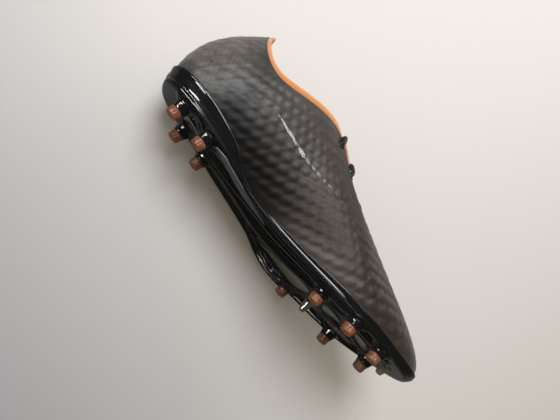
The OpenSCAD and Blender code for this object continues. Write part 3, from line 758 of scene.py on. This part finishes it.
def lace_path():
    """From the end tucked in at the lowest outer eyelet to the one at the highest inner eyelet."""
    first, last = 1 - LACE_ROWS[0], LACE_ROWS[2]
    path = [side(first, 0.76, INSIDE_D - 0.4), side(first, 0.85, INSIDE_D)]
    path += cross_over(LACE_ROWS[0], LACE_ROWS[0])[::-1] + cross_over(LACE_ROWS[0], LACE_ROWS[1])
    path += bar(LACE_ROWS[1]) + cross_over(LACE_ROWS[1], LACE_ROWS[2]) + bar(LACE_ROWS[2])
    return np.array(path + [side(last, 0.85, INSIDE_D), side(last, 0.76, INSIDE_D - 0.4)])


def through(points, per):
    """Smooth open curve through the points, per steps between neighbours."""
    n = len(points)
    s = np.linspace(0, n - 1, (n - 1) * per + 1)
    i = np.minimum(np.floor(s).astype(int), n - 2)
    f = (s - i)[:, None]
    a, b = points[np.maximum(i - 1, 0)], points[i]
    c, e = points[i + 1], points[np.minimum(i + 2, n - 1)]
    return 0.5 * (2 * b + (c - a) * f + (2 * a - 5 * b + 4 * c - e) * f * f
                  + (3 * b - a - 3 * c + e) * f ** 3)


def carried_frames(line):
    """Two cross directions along a line that don't twist."""
    d = unit(np.gradient(line, axis=0))
    x = np.zeros_like(d)
    x[0] = unit(np.cross(d[0], [0.3, 0.2, 1]))
    for i in range(1, len(d)):
        x[i] = unit(x[i - 1] - (x[i - 1] @ d[i]) * d[i])
    return x, np.cross(d, x)


def even_steps(line, spacing):
    """The line with its points spaced evenly, and how far along it each one is."""
    s = run_length(line)
    at = np.linspace(0, s[-1], int(s[-1] / spacing) + 1)
    return np.stack([np.interp(at, s, line[:, k]) for k in range(3)], 1), at


def lace():
    """Round braided cord, the strands standing out of the surface."""
    line, s = even_steps(through(lace_path(), 12), 0.26)
    x, y = carried_frames(line)
    a = circle(36)
    turn = s[:, None] * TURN / 7.5
    strands = np.abs(np.sin(4 * (a + turn))) * np.abs(np.sin(4 * (a - turn)))
    radius = (LACE_D / 2 - 0.14 + 0.24 * np.sqrt(strands))[..., None]
    points = line[:, None] + radius * (np.cos(a)[:, None] * x[:, None] + np.sin(a)[:, None] * y[:, None])
    ob = new_mesh("Lace", points, LACE, "lace_cord", "lace", close_v=True, turned_over=True)
    write_uv(ob, *grid(s, a * LACE_D / 2))


def spread(normal, n):
    """Unit normal, and n directions square to it all the way round."""
    normal = unit(normal)
    x = unit(np.cross(normal, [0.2, 0.1, 1.0]))
    a = circle(n)[:, None]
    return normal, np.cos(a) * x + np.sin(a) * np.cross(normal, x)


def ring(name, centre, normal, radius, thick, stands_for):
    """Moulded ring with its axis along normal."""
    normal, out = spread(normal, 40)
    b = circle(14)
    r = radius + thick / 2 * np.cos(b)
    h = thick / 2 * np.sin(b)
    points = centre + out[:, None] * r[:, None] + normal * h[:, None]
    new_mesh(name, points, EYELET, "eyelet_tpu", stands_for, close_u=True, close_v=True)


def shade_well(name, centre, normal, radius):
    """Black cup of painted shade in an eyelet the lace leaves free, for the dark hollow seen through it."""
    normal, out = spread(normal, 40)
    rows = [centre + out * radius * r + normal * h
            for r, h in ((1.0, 0.2), (1.0, 0.62), (0.8, 0.55), (0.5, 0.42), (0.01, 0.36))]
    new_mesh(name, np.stack(rows, 1), HOLE_SHADE, "eyelet_tpu", close_u=True)


def eyelets():
    """Rings along both edges of the lace opening; the lowest pair is empty."""
    for k, u in enumerate(LACE_ROWS):
        for tag, w in (("in", u), ("out", 1 - u)):
            p = side(w, EYELET_V, 0)
            n = side(w, EYELET_V, -1) - side(w, EYELET_V, 1)
            ring(f"Eyelet_{tag}_{k + 1}", p + 0.2 * unit(n), n, EYELET_R + 0.75, 1.1,
                 "eyelets" if w == LACE_ROWS[0] else None)
            # Each empty eyelet gets a cup of painted shade.
            if k == 0:
                shade_well(f"Eyelet_well_{tag}", p, n, EYELET_R + 0.5)


# ---- outsole plate
PLATE_STEPS_X = [0, 60, 110, 150, 220, 285]
PLATE_STEPS_T = [4, 4, 3.2, 2.8, 3.6, 3]
WALL_ROWS = 14

# Ribs under the foot: name, plan points, half width, height at the first and at the last point, mm
RIBS = [
    ("spine", [(50, 1), (70, -0.5), (84, -1.5), (96, -3), (110, -6.5), (122, -8), (136, -9), (150, -14),
               (166, -21), (184, -27), (206, -34)], 2.6, 2.6, 1.6),
    ("central arm", [(52, 12), (72, 8), (88, 6.5), (104, 8), (120, 10.5), (135, 10), (150, 5), (164, -1),
                     (184, -15)], 3.6, 2.6, 3.4),
    ("inner edge bead", [(92, -18.5), (106, -18.2), (120, -17.4), (134, -17), (148, -19.5), (164, -26),
                         (182, -33), (206, -38)], 1.3, 0.6, 1.5),
    ("outer edge rib", [(56, 22), (76, 27), (96, 30), (114, 33), (128, 36)], 2.6, 1.6, 2.2),
    ("outer arm, inner rib", [(120, 29), (135, 30), (149, 37), (162, 40), (178, 42)], 1.8, 1.4, 3.0),
    ("outer arm, outer rib", [(118, 33), (132, 39), (147, 44), (164, 46.5), (180, 46)], 2.2, 1.6, 3.4),
    ("medial toe strut", [(212, -34), (222, -29.5), (240, -30)], 2.4, 2.6, 2.2),
    ("medial toe rail", [(240, -30), (252, -24), (260, -14), (262, -4), (258, 10)], 1.6, 2.2, 1.6),
    ("lateral toe rail", [(183, 43), (206, 40.5), (230, 34), (246, 24), (258, 10)], 2.2, 3.0, 2.4),
    ("window strut", [(212.5, 30), (213.5, 17), (217, 7.5), (224, 2), (236, -8), (243, -26)], 1.8, 2.0, 1.6),
    ("first bridge", [(186, -14), (193, -9), (199, -20), (210, -34)], 2.2, 3.0, 2.6),
    ("second bridge", [(196, 28), (197, 14), (193, 2), (188, -12)], 2.0, 1.6, 2.4)]

# Corners of the windows in plan
WINDOWS = [
    [(132, 30), (141, 25.5), (151, 19.5), (163, 10), (174, 3.5), (185, 1), (190, 8), (189, 20), (184, 31),
     (172, 37.5), (159, 38.5), (146, 37)],
    [(200.5, 5.5), (199.5, -7), (206, -10), (215, -8.5), (220.5, 2), (214, 6), (208.5, 14)],
    [(220.5, 29), (216.5, 17), (223, 9.5), (240, 9), (245, 22), (236, 30)],
    [(229, -7), (225, -18.5), (231, -19.5), (240.5, -14.5), (248, -2), (247, 4), (236, 0)]]

# Studs and nubs: place in plan, and how far the lower end stands above the ground, mm
HEEL_STUDS = [(30.7, -16.9, 0), (37.7, 15.8, 0), (56.5, -19.3, 0), (62.3, 16.3, 0)]
FOREFOOT_STUDS = [(185.9, -21.2, 0), (182.6, 43.1, 0), (211.2, -35.3, 1.1), (231.6, 33.5, 1.4),
    (239.7, -30.7, 4.6), (257.8, 10.3, 5.3)]
NUBS = [(199, 23.7, 1.3), (262, -9, 10.5)]


def plate_t(x):
    """Thickness of the plate at x."""
    return np.interp(x, PLATE_STEPS_X, PLATE_STEPS_T)


def curve2d(points, per=8):
    return through(np.array(points, float), per)


def nearest(xy, line):
    """Distance of many plan points to a line, and how far along it (0 to 1) each foot lies."""
    best = np.full(xy.shape[:-1], 1e9)
    share = np.zeros(xy.shape[:-1])
    n = len(line) - 1
    for k in range(n):
        a, b = line[k], line[k + 1]
        d = b - a
        t = np.clip(((xy - a) @ d) / max(d @ d, 1e-9), 0, 1)
        r = np.linalg.norm(xy - a - t[..., None] * d, axis=-1)
        closer = r < best
        best = np.where(closer, r, best)
        share = np.where(closer, (k + t) / n, share)
    return best, share


def rib_profile(distance, half_width):
    """1 on the flat top of a rib, rounded shoulders, 0 beyond its foot."""
    return 1 - smooth(0.45, 1.30, distance / half_width)


def outline(window, per=10):
    """Window outline with rounded corners, from a closed spline through its corner points."""
    loop = np.array(window, float)
    n = len(loop)
    dense = np.concatenate([mix(loop[i], loop[(i + 1) % n], np.array([[0.2], [0.5], [0.8]]))
                            for i in range(n)])
    return along(dense, np.linspace(0, 1, len(dense) * per // 3, endpoint=False))


WINDOW_DEPTH = 1.5                        # how far the plate is hollowed in a window, mm
HEEL_DISH = (39, 1)                       # middle of the dish under the heel, in plan
HEEL_DISH_DEPTH = 1.0


def inside(xy, loop):
    """Which plan points lie inside a closed outline."""
    x, y = xy[..., 0], xy[..., 1]
    odd = np.zeros(x.shape, bool)
    for (x1, y1), (x2, y2) in zip(loop, np.roll(loop, -1, 0)):
        crosses = (y1 > y) != (y2 > y)
        at = x1 + (y - y1) * (x2 - x1) / (y2 - y1 if y2 != y1 else 1e-9)
        odd ^= crosses & (x < at)
    return odd


def sole_relief(x, y):
    """How far the underside stands down below its plain face, mm."""
    xy = np.stack([x, y], -1)
    total = np.zeros_like(x)
    for _, points, half_width, first, last in RIBS:
        r, share = nearest(xy, curve2d(points))
        height = mix(first, last, smooth(0, 1, share)) * smooth(-0.02, 0.10, share)
        total = np.maximum(total, height * rib_profile(r, half_width))
    hollow = np.zeros_like(x)
    for w in WINDOWS:
        loop = outline(w, 4)
        r, _ = nearest(xy, np.concatenate([loop, loop[:1]]))
        total = np.maximum(total, 0.9 * rib_profile(r, 1.1))
        hollow = np.where(inside(xy, loop), smooth(0.1, 1.0, r), hollow)
    for sx, sy, _ in HEEL_STUDS + FOREFOOT_STUDS:
        r = np.hypot(x - sx, y - sy)
        total = np.maximum(total, 2.0 * (1 - smooth(6.0, 11.5, r)))
    total = mix(total, -WINDOW_DEPTH, hollow)
    heel_dish = 1 - smooth(0.55, 1.0, np.hypot((x - HEEL_DISH[0]) / 12, (y - HEEL_DISH[1]) / 8.5))
    return mix(total, -HEEL_DISH_DEPTH, heel_dish)


def edge_drop(x, y):
    """The outer side of the waist hangs lower, towards the first outer stud."""
    return 4.0 * np.exp(-((x - 158) / 29) ** 2) * smooth(24, 46, y)


def waist(u):
    """1 along the inner side of the waist, where the plate has no side wall."""
    return smooth(0.150, 0.185, u) * (1 - smooth(0.215, 0.245, u))


def plate_side(u):
    """Rows of one side of the plate: rounded top edge, wall, and the turn under the foot."""
    bare = waist(u)
    top = along(PLATE_WALL, u) * (1 - bare)
    out = mix(-(WALL_T + PLATE_PLAY), -0.2, bare)
    heel = 1 - smooth(0.08, 0.13, from_heel(u))
    thick = -PLATE_PLAY - out
    rows = [side(u, top, out + share * thick, rise * (1 - 0.7 * bare))
            for share, rise in ((1.0, 0.0), (0.75, 0.42), (0.4, 0.58), (0.12, 0.45), (0.0, 0.25))]
    for k in np.linspace(1, 0, WALL_ROWS):
        groove = 0.10 * math.exp(-((k - 0.62) / 0.16) ** 2) * heel
        bead = 0.20 * math.exp(-((k - 1.0) / 0.10) ** 2) * (1 - bare)
        rows.append(side(u, top * k, out + groove - bead))
    f = along(LOOPS[0], u)
    drop = edge_drop(f[:, 0], f[:, 1])
    for step, share, hang in ((0, 0.25, 0.4), (0.35, 0.62, 0.8), (1.1, 0.92, 1)):
        rows.append(on_floor(under(u, out + step), -share * plate_t(f[:, 0]) - hang * drop))
    return rows


def plate():
    """Gloss moulding: underside with its ribs, side walls, plain inner face."""
    m = heel_to_toe(381)
    near, far = plate_side(m), plate_side(1 - m)
    a, b = under(m, 2.4), under(1 - m, 2.4)
    rows = near[:]
    for k in np.linspace(0, 1, 150):
        p = mix(a, b, k)
        x, y = p[:, 0], p[:, 1]
        rows.append(on_floor(p, -plate_t(x) - sole_relief(x, y) - edge_drop(x, y)))
    rows += far[::-1]
    rows += [side(1 - m, along(PLATE_WALL, 1 - m) * k, -PLATE_PLAY) for k in (0.6, 0.2, 0.0)]
    rows += [on_floor(mix(under(m, 0.6), under(1 - m, 0.6), k), -PLATE_PLAY) for k in np.linspace(1, 0, 9)]
    top = along(PLATE_WALL, m) * (1 - waist(m))
    rows += [side(m, top * k, mix(-PLATE_PLAY, 0.3, waist(m))) for k in (0.0, 0.2, 0.6)]
    points = np.stack(rows, 1)
    ob = new_mesh("Outsole_plate", points, PLATE, "gloss_plate", "outsole_plate", close_v=True)
    dull = np.zeros(points.shape[:2])
    foot = len(near) - 3
    x = points[:, foot, 0]
    dull[:, foot - 5:foot + 6] = (smooth(34, 46, x) * (1 - smooth(92, 108, x)))[:, None]
    write_values(ob, "dull", dull)
    merge_close(ob)


def below_plate(plan, lift):
    """Plan points, lifted from the underside of the plate."""
    return on_floor(np.pad(plan, ((0, 0), (0, 1))), lift - plate_t(plan[:, 0]))


def pad_in_plate(name, loop, low, high, material, bulge=0.0, stands_for=None):
    """Clear pad in the underside inside a plan loop, between two heights over the underside."""
    middle = loop.mean(0)
    rows = []
    for k in np.linspace(0.02, 1, 10):
        rows.append(below_plate(mix(middle, loop, math.sin(k * math.pi / 2)), low - bulge * (1 - k ** 2)))
    points = np.stack(rows + [below_plate(loop, (low + high) / 2), below_plate(loop, high)], 1)
    new_mesh(name, points, material, "clear_web", stands_for, close_u=True, turned_over=True)


def web():
    """Cloudy clear web that fills the windows of the plate, and the smoky dish under the heel."""
    for k, window in enumerate(WINDOWS):
        loop = outline(window)
        loop = mix(loop.mean(0), loop, 0.98)
        pad_in_plate(f"Web_{k + 1}", loop, 0.45, 1.4, PANE, 0.0, "forefoot_web" if k == 0 else None)
    a = circle(72)
    dish = np.column_stack([HEEL_DISH[0] + 9.5 * np.cos(a), HEEL_DISH[1] + 6.2 * np.sin(a)])
    pad_in_plate("Web_heel", dish, 0.4, 1.2, SMOKE, 0.5)


# Inlays painted with a grey reflection: name, and the two long edges in plan
BLADES = [
    ("shank", [(63, -21), (70, -18.5), (82, -13), (95, -8.5), (109, -6), (124, -9.5), (134, -9)],
     [(63, -22), (73, -24), (82, -22), (93, -19.5), (106, -16.5), (122, -11.5), (134, -9.6)]),
    ("front", [(186, -26), (197, -27), (208, -28.5)], [(186, -27), (197, -30), (208, -29.5)]),
    ("toe", [(221, -24.5), (228, -26.5), (235, -30)], [(221, -25.5), (228, -29), (235, -31)])]
BLADE_STAND = 0.9                         # how far a blade stands down from the underside, mm


def blades():
    """Slim grey inlays between the ribs that paint the reflection of flat facets."""
    for tag, left, right in BLADES:
        a, b = curve2d(left, 12), curve2d(right, 12)
        rows = [below_plate(mix(a, b, k), -BLADE_STAND - 0.35 * math.sin(math.pi * k))
                for k in np.linspace(0, 1, 9)]
        points = np.stack(rows + [below_plate(b, 0.5), below_plate(a, 0.5)], 1)
        merge_close(new_mesh(f"Blade_{tag}", points, BLADE_REFLECTION, "gloss_plate", close_v=True))


# ---- studs
STUD_TIP_D, STUD_BASE_D, STUD_TIP_LEN = 9.0, 13.0, 5.5
FLUTES = 18
FLUTE_DEPTH = 0.22


def underside(x):
    """Height of the plain underside of the plate at x."""
    return float(floor_z(x) - plate_t(x))


def turned(name, x, y, profile, material, slot, stands_for, around=72, flute=None):
    """Revolved body from (radius, height) pairs; flute gives how deep its ribs are at each pair."""
    a = circle(around)
    r, z = np.array(profile, float).T
    if flute:
        r = r - np.array(flute) * (0.5 + 0.5 * np.cos(FLUTES * a))[:, None]
    r = np.maximum(r, 0.001) * np.ones((around, 1))
    points = np.stack([x + r * np.cos(a)[:, None], y + r * np.sin(a)[:, None], z + 0 * r], -1)
    return new_mesh(name, points, material, slot, stands_for, close_u=True)


def rounded_cone(r0, r1, z0, z1, edge, start=0, round_steps=6, steps=6):
    """Profile of a cone from its rounded lower edge, entered at the angle start, to its upper end."""
    turn = np.linspace(start, math.pi / 2, round_steps)
    rows = [(r0 - edge + edge * math.sin(a), z0 + edge - edge * math.cos(a)) for a in turn]
    return rows + [(mix(r0, r1, k), mix(z0 + edge, z1, k)) for k in np.linspace(0.15, 1, steps)]


def bevelled(r0, r1, z0, z1, edge):
    """Profile of a short cone with its flat lower end."""
    return [(0.01, z0), (r0 * 0.5, z0)] + rounded_cone(r0, r1, z0, z1, edge)


def stud(tag, x, y, z, tip_node, post_node):
    """Orange ribbed tip on a black post that flares into the plate."""
    foot = z + STUD_TIP_LEN
    base = underside(x)
    tip_r = STUD_TIP_D / 2
    tip = bevelled(tip_r, tip_r + 0.5, z, foot - 0.35, 0.7) + [(tip_r - 0.5, foot - 0.1), (0.01, foot - 0.1)]
    fade = [0, 0, 0, 0.1, 0.3, 0.6, 0.9] + [1] * 5 + [0.6, 0.2, 0, 0]
    tip_ob = turned(f"Stud_tip_{tag}", x, y, tip, TIP, "stud_tip", tip_node, 108,
                    [FLUTE_DEPTH * k for k in fade])
    tip_ob.visible_glossy = False
    r0, r1 = tip_r + 0.7, STUD_BASE_D / 2 - 0.3
    post = [(0.01, foot), (r0 - 0.9, foot)] + rounded_cone(r0, r1, foot, base - 3.2, 0.5, 0.2, 5, 7)
    for a in np.linspace(0.2, math.pi / 2, 7):
        post.append((r1 + 4.0 * (1 - math.cos(a)), base - 3.2 + 4.0 * math.sin(a)))
    turned(f"Stud_post_{tag}", x, y, post + [(0.01, base + 0.8)], PLATE, "gloss_plate", post_node)


def studs():
    """Four studs under the heel, six under the forefoot, and two small clear nubs."""
    first_tip = {"heel_A": "stud_tips_heel", "fore_1": "stud_tips_forefoot"}
    tags = ["heel_" + letter for letter in "ABCD"] + [f"fore_{k + 1}" for k in range(len(FOREFOOT_STUDS))]
    for tag, place in zip(tags, HEEL_STUDS + FOREFOOT_STUDS):
        stud(tag, *place, first_tip.get(tag), "stud_posts" if tag == "heel_A" else None)
    for k, (x, y, z) in enumerate(NUBS):
        base = underside(x)
        rows = bevelled(2.5, 4.0, z, base - 1.5, 0.8)
        rows += [(4.6, base - 0.6), (5.6, base + 0.2), (0.01, base + 0.6)]
        turned(f"Centre_nub_{k + 1}", x, y, rows, WEB, "clear_web", "centre_nubs" if k == 0 else None)


# ---- clear windows and side marks
def patch(name, place, material, slot, stands_for, base_d, thick, rings=12, around=96):
    """Pad on the side of the shoe.  place maps a disc point (a, b) to (u, v); its rim is rounded."""
    rad = np.sin(np.linspace(0.0, math.pi / 2, rings))
    rad[0] = 0.02
    a = circle(around)[:, None]
    u, v = place(rad * np.cos(a), rad * np.sin(a))
    height = thick * np.sqrt(np.clip(1 - rad ** 6, 0, 1))
    top = side(u, v, base_d - height)
    rim = side(u[:, -1], v[:, -1], base_d + 0.4)
    points = np.concatenate([top, rim[:, None]], 1)
    new_mesh(name, points, material, slot, stands_for, close_u=True, turned_over=True)


def clear_panel(name, stands_for, middle, half):
    """Oval grey panel on the wall of the plate, middle and half sizes in (u, v)."""
    def place(a, b):
        return middle[0] + half[0] * a, middle[1] + half[1] * b
    patch(name, place, HEEL_CLEAR, "clear_web", stands_for, -(WALL_T + PLATE_PLAY), 0.7)


# Side mark: middle (u, v), half length, half width at its rear and at its front end
MARKS = [(0.1760, 0.524, 0.0195, 0.005, 0.022), (0.2030, 0.497, 0.0058, 0.018, 0.023),
    (0.2140, 0.495, 0.0044, 0.020, 0.016), (0.2235, 0.500, 0.0040, 0.013, 0.016),
    (0.2330, 0.508, 0.0044, 0.015, 0.010), (0.2425, 0.517, 0.0030, 0.010, 0.012),
    (0.2520, 0.528, 0.0034, 0.009, 0.007), (0.2640, 0.540, 0.0026, 0.007, 0.005),
    (0.2760, 0.546, 0.0022, 0.006, 0.004)]
MARK_LINE = ([0.157, 0.177, 0.200, 0.214, 0.229, 0.244, 0.266, 0.280],
             [0.550, 0.523, 0.500, 0.493, 0.503, 0.517, 0.541, 0.548])


def accents():
    """Worn foil flecks in a thin tapering line on the inner side."""
    for i, (u0, v0, half_u, rear, front) in enumerate(MARKS):

        def place(a, b):
            ragged = 1 + 0.16 * np.sin(7 * np.arctan2(b, a) + 2.1 * i) * np.hypot(a, b)
            u = u0 + half_u * a * ragged
            lean = np.interp(u, *MARK_LINE) - np.interp(u0, *MARK_LINE)
            return u, v0 + lean + mix(rear, front, 0.5 + 0.5 * a) * b * ragged
        patch(f"Side_mark_{i + 1}", place, FOIL if i < 2 else FOIL_WORN, "accent_foil",
              "accent_marks" if i == 0 else None, -0.12, 0.22, 6, 60)


# ---- inside
SOCK_T, SOCK_INSET = 3.5, 4.8
SOCK_LOW = 4.2                            # underside of the sockliner over the top of the plate, mm


def sockliner():
    """Cloth-faced insole with edges that curl up a little."""
    m = heel_to_toe(140)
    a, b = under(m, SOCK_INSET), under(1 - m, SOCK_INSET)
    rows = [on_floor(mix(a, b, k), SOCK_LOW + SOCK_T + 1.2 * (2 * k - 1) ** 4) for k in np.linspace(0, 1, 41)]
    rows += [on_floor(mix(a, b, k), SOCK_LOW) for k in np.linspace(1, 0, 6)]
    merge_close(new_mesh("Sockliner", np.stack(rows, 1), SOCK, "sockliner_cloth", "sockliner",
                         "sockliner_body", close_v=True))


def dress(material, *nodes):
    """Gives CAD nodes a finish of their own."""
    for node in nodes:
        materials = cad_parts[node].data.materials
        materials.clear()
        materials.append(material)


# ---- stage
WALL = (0.70, 0.68, 0.66)
SHEET_HALF = 2.5
# Painted shade: the table's colour darkens in the direction given.
SHADE_TOWARDS = (-0.145, 0.078, -0.985)  # the table falls off in this direction


def stage_material(name, colour, below):
    """Matte paper that shows only for cameras under the floor (below) or above it, with painted shade on the
    table, dark in reflections, and a painted glow far out on the floor.
    """
    n = new_finish(name)
    to_world = {"vector_type": "POINT", "convert_from": "CAMERA", "convert_to": "WORLD"}
    camera_at = n.add("VectorTransform", to_world, _0=(0, 0, 0)).outputs[0]
    height = n.add("SeparateXYZ", _0=camera_at).outputs["Z"]
    show = n.maths("LESS_THAN" if below else "GREATER_THAN", height, 0.0)
    at = n.coords()
    ray = n.add("LightPath").outputs
    cloudy = n.noise(at, 3.0, 2.0, 0.5)
    base = n.tint(cloudy, 0.3, 0.7, 0.4, colour, tuple(c * 0.96 for c in colour))
    if below:
        # Painted shade: the table's colour darkens along SHADE_TOWARDS, standing in for the light falling
        # off.
        across = n.add("VectorMath", {"operation": "DOT_PRODUCT"}, _0=at, _1=SHADE_TOWARDS)
        shade = tuple(c * k for c, k in zip(colour, (0.50, 0.54, 0.61)))
        base = n.tint(across.outputs["Value"], -0.02, 0.27, 1.0, base, shade)
    # Painted shade in reflections: glossy rays see the paper nearly black.
    base = n.tint(ray["Is Glossy Ray"], 0.0, 1.0, 0.82, base, (0.02, 0.024, 0.03))
    # Painted glow: far out the floor turns black and, for the camera only, glows in the backdrop colour, so
    # it fades into the backdrop.
    if not below:
        reach = n.add("VectorMath", {"operation": "LENGTH"}, _0=at)
        far = n.range(reach.outputs["Value"], 0.35, 1.3, 0.0, 1.0)
        base = n.blend(far, base, (0.0, 0.0, 0.0))
        n.set(Emission_Color=(*WALL, 1), Emission_Strength=n.maths("MULTIPLY", far, ray["Is Camera Ray"]))
    n.set(Base_Color=base, Roughness=0.7, Normal=n.bump(n.noise(at, 900.0, 3.0, 0.6), 0.06, 0.0002))
    clear = n.add("BsdfTransparent").outputs[0]
    paper = n.tree.nodes["Principled BSDF"].outputs[0]
    both = n.add("MixShader", _0=show, _1=clear, _2=paper)
    n.put(n.tree.nodes["Material Output"], "Surface", both.outputs[0])
    return n.owner


def stand(name, data, matrix):
    """Puts a thing of the studio in the scene, outside the object."""
    ob = bpy.data.objects.new(name, data)
    ob.matrix_world = matrix
    bpy.context.scene.collection.objects.link(ob)
    return ob


def facing(direction):
    return Vector(direction).normalized().to_track_quat("Z", "Y").to_matrix().to_4x4()


def sheet(name, centre, normal, material):
    me = bpy.data.meshes.new(name)
    corners = [(x * SHEET_HALF, y * SHEET_HALF, 0) for x, y in ((-1, -1), (1, -1), (1, 1), (-1, 1))]
    me.from_pydata(corners, [], [(0, 1, 2, 3)])
    me.transform(Matrix.Translation(centre) @ facing(normal))
    me.materials.append(material)
    stand(name, me, Matrix())


# Square to the table that the outer side lies on, pointing into it
TABLE_NORMAL = Vector((-0.13, 0.985, 0.10)).normalized()


def table_offset():
    """How far the table lies out on the side the shoe rests on."""
    u, v = np.meshgrid(np.linspace(0, 1, 160), np.linspace(0, 1, 60))
    p = to_frame(side(u, v, -1.6)).reshape(-1, 3)
    return float((p @ np.array(TABLE_NORMAL)).max()) + 0.0003


def area_light(name, direction, distance, size, power, colour=(1, 1, 1)):
    data = bpy.data.lights.new(name, "AREA")
    data.shape = "DISK"
    data.size = size
    data.energy = power
    data.color = colour
    place = Vector(direction).normalized() * distance
    return stand(name, data, Matrix.Translation(place) @ facing(direction))


def strip_light(name, direction, distance, size, power):
    """Long narrow light that only shows as a streak in glossy surfaces."""
    ob = area_light(name, direction, distance, size[0], power)
    ob.data.shape = "RECTANGLE"
    ob.data.size_y = size[1]
    ob.visible_diffuse = False


def camera():
    """Pinhole camera at the place and angle the shoe is looked at from."""
    right = Vector((0.59298, -0.32482, 0.73645))
    up = Vector((-0.80010, -0.13858, 0.58315))
    forward = Vector((0.08736, 0.93557, 0.34206))
    data = bpy.data.cameras.new("Camera")
    data.sensor_width = 36
    data.lens = 28.35
    data.clip_start = 0.01
    turned_to = Matrix((right, up, -forward)).transposed().to_4x4()
    place = Vector((-43.4, -304.2, -81.7)) * MM
    bpy.context.scene.camera = stand("Camera", data, Matrix.Translation(place) @ turned_to)


def light_and_stage():
    """Soft light from above and in front, thin strips for the gloss, and the table and floor."""
    table = stage_material("table", (0.85, 0.83, 0.825), True)
    sheet("Table", TABLE_NORMAL * table_offset(), -TABLE_NORMAL, table)
    sheet("Floor", Vector((0, 0, 0)), (0, 0, 1), stage_material("floor", (0.83, 0.84, 0.86), False))
    area_light("Key", (-0.27, -1.0, 0.34), 0.90, 0.52, 5.9, (0.985, 0.985, 1.0))
    area_light("Overhead", (0.15, -0.25, 1.0), 1.0, 0.7, 2.6, (0.98, 0.985, 1.0))
    area_light("Fill", (0.8, 0.9, 0.7), 1.5, 0.9, 2.5, (0.95, 0.97, 1.0))
    strip_light("Glint", (-0.63, -0.75, -0.12), 0.8, (0.42, 0.035), 2.6)
    strip_light("Glint_low", (-0.60, -0.70, -0.33), 0.8, (0.20, 0.012), 0.25)
    strip_light("Sole_line", (0.05, -0.74, -0.72), 0.8, (0.8, 0.012), 0.7)
    n = Nodes(bpy.data.worlds.new("World"))
    ray = n.add("LightPath").outputs
    glow = n.tree.nodes["Background"]
    n.put(glow, "Color", (1.0, 0.89, 0.70, 1))
    n.put(glow, "Strength", n.range(ray["Is Glossy Ray"], 0.0, 1.0, 0.30, 0.05))
    wall = n.add("Background", Color=(*WALL, 1))
    seen = n.add("MixShader", _0=ray["Is Camera Ray"], _1=glow.outputs[0], _2=wall.outputs[0])
    n.put(n.tree.nodes["World Output"], "Surface", seen.outputs[0])
    bpy.context.scene.world = n.owner
    bpy.context.scene.view_settings.view_transform = "Standard"


# ---- assembly
SKIN = skin_material()
ORANGE_KNIT = knit_material("orange_lining", (0.98, 0.42, 0.12), (0.72, 0.22, 0.04), 0.55)
CORAL_KNIT = knit_material("tongue_cloth", (0.80, 0.40, 0.30), (0.55, 0.18, 0.12), 0.8)
PLATE = gloss_plate_material()
WEB = clear_material("clear_web", (0.34, 0.35, 0.28))
PANE = clear_material("window_web", (0.24, 0.245, 0.19), 0.16, 0.35)
HEEL_CLEAR = clear_material("heel_clear", (0.42, 0.46, 0.47))
SMOKE = clear_material("smoky_web", (0.06, 0.07, 0.075))
# Painted reflection: a lighter grey for the reflection of flat facets under the plate.
BLADE_REFLECTION = moulded_material("blade_painted_reflection", (0.115, 0.128, 0.148), 0.30)
TIP = stud_tip_material()
LACE = lace_material()
EYELET = moulded_material("eyelet_tpu", (0.012, 0.012, 0.013), 0.35)
# Painted shade: near-black matte for the cups in the empty eyelets.
HOLE_SHADE = moulded_material("eyelet_painted_shade", (0.004, 0.004, 0.004), 0.9)
FOIL = foil_material("accent_foil", 0.46)
FOIL_WORN = foil_material("accent_foil_worn", 0.17)
SOCK = board_material("sockliner_cloth", (0.80, 0.30, 0.08))

upper()
quarter_lining()
throat_binding()
tongue()
lace()
eyelets()
plate()
studs()
clear_panel("Heel_window", "heel_window", (0.0, 0.030), (0.024, 0.022))
clear_panel("Toe_bumper", "toe_bumper", (0.5, 0.058), (0.030, 0.050))
accents()
sockliner()
web()
blades()
dress(board_material("grey_lining", (0.22, 0.22, 0.21)), "vamp_lining")
dress(board_material("board", (0.62, 0.60, 0.54)), "strobel_board")
dress(board_material("stiffener", (0.60, 0.58, 0.52)), "heel_counter", "toe_puff")
dress(knit_material("tongue_back", (0.80, 0.34, 0.16), (0.5, 0.15, 0.05), 0.8), "tongue_backing")
dress(moulded_material("foam", (0.55, 0.52, 0.45), 0.8), "collar_foam")
dress(moulded_material("pad", (0.20, 0.20, 0.21), 0.8), "heel_pad")
dress(moulded_material("film", (0.03, 0.03, 0.032), 0.4), "eyestay_medial", "eyestay_lateral")
dress(moulded_material("aglet_plastic", (0.03, 0.03, 0.032), 0.25), "aglets")

light_and_stage()
camera()
